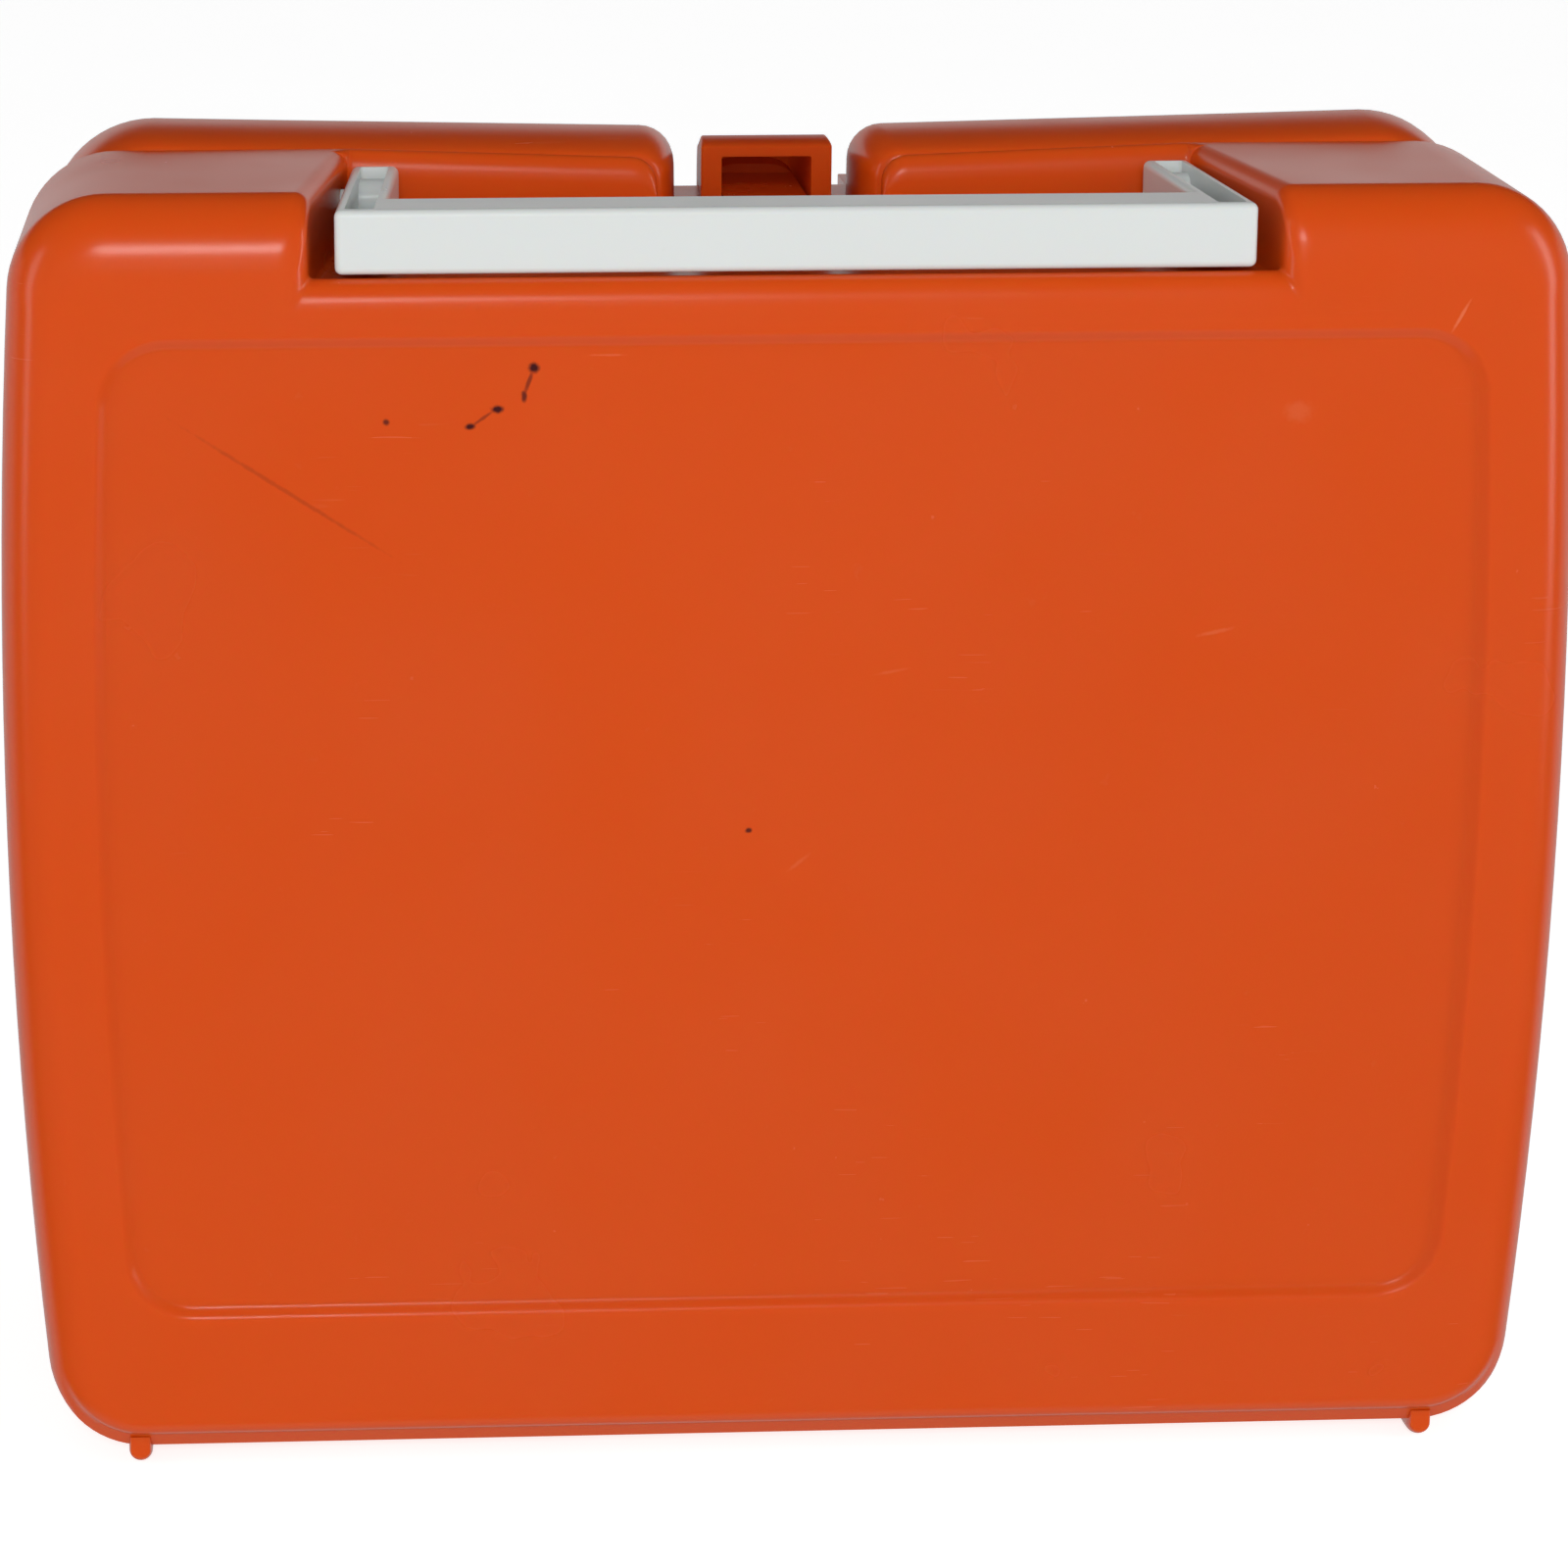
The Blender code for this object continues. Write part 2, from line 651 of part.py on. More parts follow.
def add_posts(shell, which, wall_y, tip_y, plate_y):
    """Fuse the screw posts onto a shell and bore them for their screws."""
    inward = 1 if tip_y > wall_y else -1
    for x, z in post_places(which):
        join(shell, rod("post", (x, wall_y, z), (x, tip_y, z), POST_RADIUS, 12))
    for x, z in post_places(which):
        bore_end = plate_y - inward * (SCREW_LENGTH + SCREW_ROOM)
        cut(shell, rod("bore", (x, tip_y + inward * GAP, z), (x, bore_end, z), SCREW_BORE_RADIUS, 8))


def catch_tongue():
    """The tongue from the rear shell's rim that the latch closes over, with a crowned end."""
    root_y = REAR_RIM_Y - RIM_WALL
    low_z = NOTCH_FLOOR_Z + 2 * GAP
    tongue = box(
        "tongue",
        (-TONGUE_HALF_WIDTH, root_y, low_z),
        (TONGUE_HALF_WIDTH, TONGUE_END_Y, TONGUE_TOP_Z),
    )
    root = box(
        "root",
        (-TONGUE_HALF_WIDTH, root_y - RIM_WALL, RECESS_FLOOR_Z - WALL / 2),
        (TONGUE_HALF_WIDTH, REAR_RIM_Y, TONGUE_TOP_Z),
    )
    crown = [(TONGUE_HALF_WIDTH, low_z)]
    edge_z = TONGUE_TOP_Z
    for step in range(CATCH_STEPS + 1):
        across = 1 - 2 * step / CATCH_STEPS
        height = CATCH_TOP_Z - (CATCH_TOP_Z - edge_z) * across ** CATCH_CROWN_POWER
        crown.append((TONGUE_HALF_WIDTH * across, height))
    crown.append((-TONGUE_HALF_WIDTH, low_z))
    catch = loft("catch", [at_y(crown, CATCH_START_Y), at_y(crown, TONGUE_END_Y)])
    return join(tongue, root, catch)


def build_rear_shell(material):
    """The rear shell: handle recess, rim wall, catch tongue, hinge, ribs and screw posts."""
    shell = rear_solid("rear_shell", 0.0)
    cut(shell, recess_cutter(0.0, REAR_DEPTH - RIM_WALL), rear_notch_cutter(), rear_core(WALL))
    join(shell, catch_tongue())
    for side in (-1, 1):
        join(shell, skid_rib(side * RIB_X, REAR_FACE_Y + RIB_INSET, HINGE_Y - RIB_HINGE_GAP))
        rear_spans, front_spans = hinge_spans(side)
        add_knuckles(shell, rear_spans, front_spans)
        wide = sorted((side * PIVOT_INNER_X, side * (PIVOT_OUTER_X + 2 * WALL)))
        cut(shell, along_x("bore", wide, HANDLE_AXIS_Y, HANDLE_AXIS_Z, PIVOT_RADIUS + GAP, 12))
    plate_back = OCEAN_Y - PLATE - GAP
    add_posts(shell, "ocean", REAR_FACE_Y + POST_ROOT, plate_back, OCEAN_Y)
    return finish(shell, material)


def build_front_shell(material):
    """The front shell: proud collar, latch notch and well, hinge, ribs and screw posts."""
    shell = front_solid("front_shell", 0.0)
    cut(shell, front_notch_cutter(0.0), latch_well_cutter(0.0), front_core(WALL))
    for side in (-1, 1):
        join(shell, skid_rib(side * RIB_X, FRONT_FACE_Y - RIB_INSET, HINGE_Y + RIB_HINGE_GAP))
        rear_spans, front_spans = hinge_spans(side)
        add_knuckles(shell, front_spans, rear_spans)
    reach = LATCH_WELL_HALF_WIDTH + WALL / 2
    cut(shell, along_x("bore", (-reach, reach), LATCH_HINGE_Y, LATCH_HINGE_Z, HINGE_PIN_RADIUS + GAP, 10))
    plate_back = TARGET_Y + PLATE + GAP
    add_posts(shell, "target", FRONT_FACE_Y - POST_ROOT, plate_back, TARGET_Y)
    set_origin(shell, (0.0, HINGE_Y, HINGE_Z))
    return finish(shell, material)


def handle_half(y):
    """Half width of the handle's outer side at y."""
    share = (y - HANDLE_FRONT_Y) / (HANDLE_REAR_Y - HANDLE_FRONT_Y)
    return HANDLE_FRONT_HALF + (HANDLE_REAR_HALF - HANDLE_FRONT_HALF) * share


def prism_between(name, plan, low_z, high_z):
    """A prism with the given (x, y) plan between two heights."""
    return loft(name, [[Vector((x, y, z)) for x, y in plan] for z in (low_z, high_z)])


def build_handle(material):
    """The bail handle: a flat-topped grip and two arms that are channels open at the top."""
    outer = [
        (handle_half(HANDLE_FRONT_Y), HANDLE_FRONT_Y),
        (handle_half(HANDLE_REAR_Y), HANDLE_REAR_Y),
        (-handle_half(HANDLE_REAR_Y), HANDLE_REAR_Y),
        (-handle_half(HANDLE_FRONT_Y), HANDLE_FRONT_Y),
    ]
    handle = prism_between("handle", outer, HANDLE_LOW_Z, HANDLE_HIGH_Z)
    grip_rear_y = HANDLE_FRONT_Y + GRIP_DEPTH
    past_y = HANDLE_REAR_Y + CUT_MARGIN
    opening = [
        (handle_half(grip_rear_y) - ARM_WIDTH, grip_rear_y),
        (handle_half(past_y) - ARM_WIDTH, past_y),
        (-handle_half(past_y) + ARM_WIDTH, past_y),
        (-handle_half(grip_rear_y) + ARM_WIDTH, grip_rear_y),
    ]
    above_z = HANDLE_HIGH_Z + CUT_MARGIN
    cut(handle, prism_between("opening", opening, HANDLE_LOW_Z - CUT_MARGIN, above_z))
    start_y = HANDLE_FRONT_Y + ARM_WALL
    end_y = HANDLE_REAR_Y - ARM_WALL
    for side in (-1, 1):
        channel = [
            (side * (handle_half(start_y) - ARM_WALL), start_y),
            (side * (handle_half(end_y) - ARM_WALL), end_y),
            (side * (handle_half(end_y) - ARM_WIDTH + ARM_WALL), end_y),
            (side * (handle_half(start_y) - ARM_WIDTH + ARM_WALL), start_y),
        ]
        floor_z = HANDLE_LOW_Z + ARM_FLOOR
        cut(handle, prism_between("channel", channel, floor_z, above_z))
        arm_outer = handle_half(HANDLE_AXIS_Y)
        boss_inner = arm_outer - ARM_WIDTH + ARM_WALL / 2
        boss = sorted((side * boss_inner, side * (arm_outer - ARM_WALL / 2)))
        join(handle, along_x("boss", boss, HANDLE_AXIS_Y, HANDLE_AXIS_Z, HANDLE_BOSS_RADIUS, 16))
        bore = sorted((side * (PIVOT_INNER_X - GAP), side * (arm_outer + CUT_MARGIN)))
        cut(handle, along_x("bore", bore, HANDLE_AXIS_Y, HANDLE_AXIS_Z, PIVOT_RADIUS + GAP, 12))
    set_origin(handle, (0.0, HANDLE_AXIS_Y, HANDLE_AXIS_Z))
    bevel = handle.modifiers.new("edges", "BEVEL")
    bevel.width = HANDLE_EDGE
    bevel.segments = 1
    bevel.limit_method = "ANGLE"
    bevel.angle_limit = math.radians(HANDLE_EDGE_DEGREES)
    return finish(handle, material)


def build_handle_pivots(material):
    """The two pins that the handle swings on."""
    for name, side in (("handle_pivot_left", -1), ("handle_pivot_right", 1)):
        span = sorted((side * PIVOT_INNER_X, side * PIVOT_OUTER_X))
        finish(along_x(name, span, HANDLE_AXIS_Y, HANDLE_AXIS_Z, PIVOT_RADIUS, 12), material)


def build_hinge_pins(material):
    """The two pins of the bottom hinge."""
    reach = len(KNUCKLE_PLACES) * KNUCKLE_LENGTH / 2 + KNUCKLE_GAP
    for name, side in (("hinge_pin_left", -1), ("hinge_pin_right", 1)):
        span = (side * HINGE_X - reach, side * HINGE_X + reach)
        finish(along_x(name, span, HINGE_Y, HINGE_Z, HINGE_PIN_RADIUS, 10), material)


def latch_roof(inset):
    """The latch roof's line as (y, z) points from its rear end to the plate's rounding."""
    points = []
    length = LATCH_CREST_Y - LATCH_REAR_Y
    for angle in arc_angles(0, math.pi / 2, 3):
        z = LATCH_CREST_Z - LATCH_REAR_DROP * (1 - math.sin(angle))
        points.append((LATCH_CREST_Y - length * math.cos(angle), z - inset))
    end_y = LATCH_FRONT_Y - LATCH_ROUND
    end_z = LATCH_CREST_Z - LATCH_SLOPE * (end_y - LATCH_CREST_Y)
    return points + [(end_y, end_z - inset)]


def latch_side_profile():
    """The latch flap's outline seen along X, as (y, z) points from its rear lower corner."""
    inner_y = LATCH_WELL_Y + 2 * GAP
    low_z = NOTCH_FLOOR_Z + 2 * GAP
    roof = latch_roof(0.0)
    centre_y, roof_end_z = roof[-1]
    points = [(inner_y, low_z), (LATCH_REAR_Y, low_z)] + roof
    for angle in arc_angles(math.pi / 2, 0, 4)[1:]:
        z = roof_end_z - LATCH_ROUND * (1 - math.sin(angle))
        points.append((centre_y + LATCH_ROUND * math.cos(angle), z))
    for angle in arc_angles(0, -math.pi, 6):
        y = LATCH_HINGE_Y + LATCH_HEEL * math.cos(angle)
        points.append((y, LATCH_HINGE_Z + LATCH_HEEL * math.sin(angle)))
    return points


def latch_pocket_profile():
    """The pocket seen along X: it follows the roof and is open at the rear."""
    roof = latch_roof(LATCH_ROOF)
    open_y = LATCH_REAR_Y - CUT_MARGIN
    plate_y = LATCH_FRONT_Y - LATCH_PLATE
    roof_end_y, roof_end_z = roof[-1]
    plate_z = roof_end_z - (plate_y - roof_end_y)
    opening = [(plate_y, LATCH_POCKET_Z), (open_y, LATCH_POCKET_Z), (open_y, roof[0][1])]
    return opening + roof + [(plate_y, plate_z)]


def along_x_prism(name, half_width, profile):
    """A prism along X with a (y, z) profile."""
    return loft(name, [[Vector((x, y, z)) for y, z in profile] for x in (-half_width, half_width)])


def build_latch(material, steel):
    """The hollow latch flap, open towards the catch, and the pin that it turns on."""
    flap = along_x_prism("latch_flap", LATCH_HALF_WIDTH, latch_side_profile())
    cut(flap, along_x_prism("pocket", LATCH_HALF_WIDTH - LATCH_WALL, latch_pocket_profile()))
    reach = LATCH_HALF_WIDTH + CUT_MARGIN
    cut(flap, along_x("bore", (-reach, reach), LATCH_HINGE_Y, LATCH_HINGE_Z, HINGE_PIN_RADIUS + GAP, 10))
    set_origin(flap, (0.0, LATCH_HINGE_Y, LATCH_HINGE_Z))
    finish(flap, material)
    pin_half = LATCH_WELL_HALF_WIDTH + WALL / 2 - GAP
    span = (-pin_half, pin_half)
    finish(along_x("latch_pin", span, LATCH_HINGE_Y, LATCH_HINGE_Z, HINGE_PIN_RADIUS, 10), steel)


def hole_place(column, row):
    """The (x, z) place of one peg hole. Columns past the tenth are the storage strip's."""
    offset = (GRID_ROWS - 1) / 2
    return GRID_CENTRE_X + (column - offset) * PITCH, GRID_CENTRE_Z + (row - offset) * PITCH


def hole_cutters(places, y_from, y_to, name):
    """One cutter made of a prism at each hole's place."""
    bm = bmesh.new()
    turn = Matrix.Rotation(math.pi / 2, 4, "X")
    for x, z in places:
        place = Matrix.Translation((x, (y_from + y_to) / 2, z)) @ turn
        bmesh.ops.create_cone(
            bm,
            cap_ends=True,
            segments=HOLE_SIDES,
            radius1=HOLE_RADIUS,
            radius2=HOLE_RADIUS,
            depth=abs(y_to - y_from),
            matrix=place,
        )
    return object_from_bmesh(name, bm)


def storage_places():
    """The peg storage holes: columns beside the playing field."""
    columns = [GRID_ROWS + column for column in STORE_COLUMNS]
    return [hole_place(column, row) for column in columns for row in STORE_ROWS]


def build_grid(name, core, face_y, back_y, which, material):
    """A grid plate that fills its shell, with peg holes and clearance for four screws."""
    low_y, high_y = sorted((face_y, back_y))
    reach = REAR_HALF_WIDTH + CUT_MARGIN
    slab = box("slab", (-reach, low_y, -CUT_MARGIN), (reach, high_y, COLLAR_Z + CUT_MARGIN))
    plate = common(slab, core)
    plate.name = name
    field = [hole_place(column, row) for column in range(GRID_ROWS) for row in range(GRID_ROWS)]
    past_y = (low_y - CUT_MARGIN, high_y + CUT_MARGIN)
    cut(plate, hole_cutters(field + storage_places(), *past_y, "holes"))
    for x, z in post_places(which):
        cut(plate, rod("bore", (x, past_y[0], z), (x, past_y[1], z), SCREW_BORE_RADIUS, 8))
    return finish(plate, material)


def turned(name, profile, steps, place):
    """A turned solid from (radius, height) points, given from the top down."""
    bm = bmesh.new()
    verts = [bm.verts.new((radius, 0.0, height)) for radius, height in profile]
    for upper, lower in zip(verts, verts[1:]):
        bm.edges.new((upper, lower))
    mesh = bpy.data.meshes.new(name)
    bm.to_mesh(mesh)
    bm.free()
    made = bpy.data.objects.new(name, mesh)
    bpy.data.collections[COLLECTION_NAME].objects.link(made)
    screw = made.modifiers.new("turn", "SCREW")
    screw.steps = steps
    screw.render_steps = steps
    screw.use_merge_vertices = True
    screw.merge_threshold = MERGE_DISTANCE
    made.matrix_world = place
    return made


def facing(x, y, z, direction):
    """A placement whose local +Z points along +Y or -Y."""
    turn = Matrix.Rotation(-direction * math.pi / 2, 4, "X")
    return Matrix.Translation((x, y, z)) @ turn


def build_screws(which, face_y, direction, material):
    """The four screws of one grid plate, with heads on the side that direction points to."""
    profile = [
        (0.0, SCREW_HEAD_HEIGHT),
        (SCREW_HEAD_RADIUS * SCREW_HEAD_DOME[0], SCREW_HEAD_HEIGHT * SCREW_HEAD_DOME[1]),
        (SCREW_HEAD_RADIUS, SCREW_HEAD_EDGE),
        (SCREW_HEAD_RADIUS, 0.0),
        (SCREW_RADIUS, 0.0),
        (SCREW_RADIUS, -SCREW_LENGTH + SCREW_TIP),
        (0.0, -SCREW_LENGTH),
    ]
    for index, (x, z) in enumerate(post_places(which), start=1):
        place = facing(x, face_y + direction * GAP, z, direction)
        screw = turned(f"{which}_screw_{index}", profile, 8, place)
        screw.data.materials.append(material)


def build_peg(name, place, material):
    """One peg: a ribless round head over a plain shank."""
    profile = [
        (0.0, PEG_HEAD_HEIGHT),
        (PEG_HEAD_RADIUS - PEG_CHAMFER, PEG_HEAD_HEIGHT),
        (PEG_HEAD_RADIUS, PEG_HEAD_HEIGHT - PEG_CHAMFER),
        (PEG_HEAD_RADIUS, 0.0),
        (PEG_SHANK_RADIUS, 0.0),
        (PEG_SHANK_RADIUS, -PEG_SHANK_LENGTH + PEG_CHAMFER),
        (0.0, -PEG_SHANK_LENGTH),
    ]
    peg = turned(name, profile, 8, place)
    peg.data.materials.append(material)


def build_pegs(white, red):
    """Pegs in the target grid: shots on the field and spares in the storage strip."""
    whites = [hole_place(2, 7), hole_place(3, 7), hole_place(6, 4), hole_place(8, 8)]
    whites += storage_places()[:4]
    reds = [hole_place(4, 7), hole_place(5, 7)] + storage_places()[6:10]
    for colour, places, material in (("white", whites, white), ("red", reds, red)):
        for index, (x, z) in enumerate(places, start=1):
            place = facing(x, TARGET_Y - GAP, z, -1)
            build_peg(f"{colour}_peg_{index}", place, material)


def hull_outline(length, half_beam):
    """A ship's deck outline as (along, across) points, with a pointed bow and a blunt stern."""
    half = length / 2
    starboard = [
        (half, 0.0),
        (half - BOW_SHOULDER[0], half_beam * BOW_SHOULDER[1]),
        (half - BOW_LENGTH, half_beam),
        (-half + STERN_CORNER[0], half_beam),
        (-half, half_beam * STERN_CORNER[1]),
    ]
    port = [(along, -across) for along, across in reversed(starboard[1:])]
    return starboard + port


def ship_point(origin, upright, along, across, height):
    """A point on a ship that lies on the ocean grid, along X or along Z."""
    x, z = origin
    if upright:
        return Vector((x + across, OCEAN_Y + GAP + height, z + along))
    return Vector((x + along, OCEAN_Y + GAP + height, z + across))


def deckhouse(origin, upright, centre, half_length, top):
    """A tapered deckhouse on a ship."""
    levels = []
    for height, share in ((DECKHOUSE_BASE, 1.0), (top, DECKHOUSE_TAPER)):
        along = half_length * share
        across = DECKHOUSE_HALF_WIDTH * share
        corners = ((along, across), (-along, across), (-along, -across), (along, -across))
        levels.append([ship_point(origin, upright, centre + a, b, height) for a, b in corners])
    return loft("deckhouse", levels)


def build_ship(name, holes, first_hole, upright, house, material):
    """A generic ship: tapered hull, deckhouse, a peg hole for each hit and two plug pins."""
    half_length = (holes - 1) * PITCH / 2
    x, z = hole_place(*first_hole)
    origin = (x, z + half_length) if upright else (x + half_length, z)
    length = 2 * half_length + HULL_OVERHANG
    rings = []
    for height, share in HULL_LEVELS:
        ring = hull_outline(length * (1 - HULL_RAKE + HULL_RAKE * share), HULL_HALF_BEAM * share)
        rings.append([ship_point(origin, upright, along, across, height) for along, across in ring])
    ship = loft(name, rings)
    centre, house_half, top = house
    join(ship, deckhouse(origin, upright, centre * PITCH, house_half, top))
    stations = [index * PITCH - half_length for index in range(holes)]
    points = [ship_point(origin, upright, along, 0.0, 0.0) for along in stations]
    deck_y = OCEAN_Y + GAP
    places = [(point.x, point.z) for point in points]
    cut(ship, hole_cutters(places, deck_y + SHIP_HOLE_FLOOR, deck_y + top + CUT_MARGIN, "peg_holes"))
    for along in (stations[0], stations[-1]):
        base = ship_point(origin, upright, along, 0.0, PLUG_OVERLAP)
        tip = ship_point(origin, upright, along, 0.0, -GAP - PLATE - PLUG_OVERLAP)
        join(ship, rod("plug", base, tip, PEG_SHANK_RADIUS, 6))
    return finish(ship, material)


def build_fleet(material):
    """The five ships, plugged into the ocean grid."""
    for name, holes, first_hole, upright, *house in SHIPS:
        build_ship(name, holes, first_hole, upright, house, material)


def build_case():
    """Build every piece of the case."""
    clear_scene()
    make_collection(COLLECTION_NAME)
    orange = make_material("orange_plastic", ORANGE, 0.28)
    white = make_material("white_plastic", HANDLE_WHITE, 0.30)
    blue = make_material("grid_plastic", GRID_BLUE, 0.38)
    grey = make_material("ship_plastic", SHIP_GREY, 0.42)
    peg_white = make_material("white_peg_plastic", PEG_WHITE, 0.35)
    peg_red = make_material("red_peg_plastic", PEG_RED, 0.35)
    steel = make_material("steel", STEEL, 0.30, 1.0)

    build_rear_shell(orange)
    build_front_shell(orange)
    build_hinge_pins(steel)
    build_handle(white)
    build_handle_pivots(white)
    build_latch(orange, steel)
    build_grid("ocean_grid", rear_core(PLATE_INSET), OCEAN_Y, OCEAN_Y - PLATE, "ocean", blue)
    build_grid("target_grid", front_core(PLATE_INSET), TARGET_Y, TARGET_Y + PLATE, "target", blue)
    build_screws("ocean", OCEAN_Y, 1, steel)
    build_screws("target", TARGET_Y, -1, steel)
    build_fleet(grey)
    build_pegs(peg_white, peg_red)


build_case()
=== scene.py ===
"""The looks of the fleet guessing case: fine meshes, materials, studio light and the camera."""
import json
import math

import bmesh
import bpy
from mathutils import Matrix, Vector


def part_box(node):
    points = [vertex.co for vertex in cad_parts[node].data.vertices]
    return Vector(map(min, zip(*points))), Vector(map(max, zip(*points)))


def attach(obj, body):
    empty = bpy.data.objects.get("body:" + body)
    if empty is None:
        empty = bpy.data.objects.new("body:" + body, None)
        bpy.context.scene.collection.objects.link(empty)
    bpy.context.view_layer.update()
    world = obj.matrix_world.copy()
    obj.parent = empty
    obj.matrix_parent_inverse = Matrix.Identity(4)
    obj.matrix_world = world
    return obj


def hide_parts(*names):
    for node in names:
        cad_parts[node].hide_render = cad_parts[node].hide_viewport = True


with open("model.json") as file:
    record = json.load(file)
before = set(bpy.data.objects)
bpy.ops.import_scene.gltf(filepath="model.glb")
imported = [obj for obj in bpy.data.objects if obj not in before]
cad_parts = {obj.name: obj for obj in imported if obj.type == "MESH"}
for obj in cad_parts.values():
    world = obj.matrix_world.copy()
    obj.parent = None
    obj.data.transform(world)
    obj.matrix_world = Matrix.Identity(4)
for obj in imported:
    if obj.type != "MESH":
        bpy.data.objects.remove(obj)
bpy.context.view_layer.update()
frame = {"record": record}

# Extremes of the CAD nodes, which the fine pieces keep to
REAR_LOW, REAR_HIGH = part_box("rear_shell")
FRONT_LOW, FRONT_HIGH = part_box("front_shell")
HANDLE_LOW, HANDLE_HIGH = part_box("handle")
LATCH_LOW, LATCH_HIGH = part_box("latch_flap")
OCEAN_LOW, OCEAN_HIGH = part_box("ocean_grid")
TARGET_LOW, TARGET_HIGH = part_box("target_grid")
HINGES = {joint["name"]: Vector(joint["pos_m"]) for joint in frame["record"]["behaviour"]["joints"]}
CASE_HINGE = HINGES["case_hinge"]
HANDLE_HINGE = HINGES["handle_swing"]
LATCH_HINGE = HINGES["latch_release"]

# Shells: walls, corners and the rounding from each face into the walls
WALL = 0.0022
BASE_Z = 0.0031
GAP = 0.0003
REAR_DEPTH = 0.0517
RIM_GAP = 0.0003
REAR_RIM_Y = REAR_LOW.y + REAR_DEPTH
FRONT_DEPTH = FRONT_HIGH.y - REAR_RIM_Y - RIM_GAP
BOW_CENTRE_Z = 0.114
BOW_RADIUS = 1.130
REAR_CORNER_RADIUS = 0.015
FRONT_CORNER_RADIUS = 0.017
BASE_CORNER_RADIUS = 0.015
LEAST_CORNER = 0.004
ROUND_DEPTH = 0.0084
ROUND_SIDE = 0.0080
ROUND_TOP = 0.0125
LIP_HEIGHT = 0.0090
LIP_FLOOR = 0.0058
LIP_DEPTH = 0.0025
SKIRT_DEPTH = 0.0042
HINGE_RELIEF = 0.0013
RIM_EDGE = 0.0004

# Recessed face panels
PANEL_HALF = 0.1068
PANEL_LOW = 0.0255
PANEL_HIGH = 0.1819
FRONT_PANEL_HIGH = 0.1560
PANEL_RADIUS = 0.0110
PANEL_DEPTH = 0.0012
PANEL_BEVEL = 0.0024

# Handle recess, rim wall and notch of the rear shell
RECESS_HALF = 0.0736
RECESS_TAPER = 0.1366
RECESS_FLOOR = 0.1883
RECESS_LIP = 0.0032
RECESS_LIP_DROP = 0.0050
RECESS_LIP_Z = 0.1900
RECESS_LIP_FALL = 0.0040
RECESS_FILLET = 0.0035
RECESS_EDGE = 0.0028
RECESS_FOOT = 0.0008
RIM_WALL = 0.0028
RIM_ROUND_DEPTH = 0.0023
RIM_ROUND_DROP = 0.0040
REAR_CROWN_DROP = 0.0024
REAR_CROWN_X = 0.0665
NOTCH_FLOOR = 0.1903
NOTCH_HALF = 0.0141
NOTCH_FLARE = 0.0038
NOTCH_FRONT_HALF = 0.0182
NOTCH_CORNER = 0.0055
RIM_NOTCH_CORNER = 0.0040
NOTCH_FOOT = 0.0002

# Collar of the front shell, and the latch well in its face
COLLAR_CREST_Y = 0.0185
COLLAR_DROP = 0.0030
COLLAR_SET_IN = 0.0015
FRONT_TOP_DRAFT = 0.0045
FRONT_CROWN_DROP = 0.0021
WELL_DEPTH = 0.0120
WELL_FLOOR = 0.1630
WELL_HALF = 0.0160
WELL_STEP = 0.0006
WELL_CORNER = 0.0002
WELL_EDGE = 0.0006

# A hair that keeps neighbouring points apart, and a floor so high that its dip has no depth
DRAFT = 0.00005
NO_DIP = 1.0

# Steps along an outline and through a shell's depth, and depths of the inner wall's rings
BOTTOM_STEPS = 6
CORNER_STEPS = 14
SIDE_STEPS = 18
SHOULDER_STEPS = 4
DIP_STEPS = 7
ROUND_STEPS = 18
QUARTER_STEPS = 8
PANEL_STEPS = 8
REAR_FLOOR_STEPS = 6
NOTCH_STEPS = 5
COLLAR_STEPS = 20
REAR_INNER_DEPTHS = [0.040, 0.028, 0.018]
FRONT_INNER_DEPTHS = [0.046, 0.042, 0.037, 0.0315, 0.020]

# Handle, latch and hinge details
GRIP_DEPTH = 0.0120
ARM_WIDTH = 0.0074
ARM_WALL = 0.0015
ARM_FLOOR = 0.0025
HANDLE_TAPER = 0.0030
HANDLE_ROUND = 0.0011
CHANNEL_EDGE = 0.0006
BOSS_RADIUS = 0.0032
PIVOT_RADIUS = 0.0016
PIVOT_INNER_X = 0.0615
TONGUE_HALF = 0.0067
TONGUE_TOP = 0.1932
CATCH_TOP = 0.1948
CATCH_LENGTH = 0.0074
LATCH_TAPER = 0.06
LATCH_POCKET_HALF = 0.0072
LATCH_PLATE = 0.0026
LATCH_ROOF = 0.0016
LATCH_HEEL = 0.0050
LATCH_ROUND = 0.0078
LATCH_POCKET_RISE = 0.0060
LATCH_CREST = 0.0065
LATCH_REAR_DROP = 0.0010
LATCH_SLOPE = 0.195
LATCH_EDGE = 0.0012
LATCH_POCKET_EDGE = 0.0007
PIN_RADIUS = 0.0013
KNUCKLE_RADIUS = 0.0036
KNUCKLE_LENGTH = 0.0090
KNUCKLE_GAP = 0.0005
HINGE_X = 0.060
RIB_X = 0.1022
RIB_HALF = 0.00185
RIB_INSET = 0.0027
RIB_HINGE_GAP = 0.0062
RIB_END_LENGTH = 0.0065
RIB_END_RISE = 0.0013
RIB_END_SHARE = 0.80

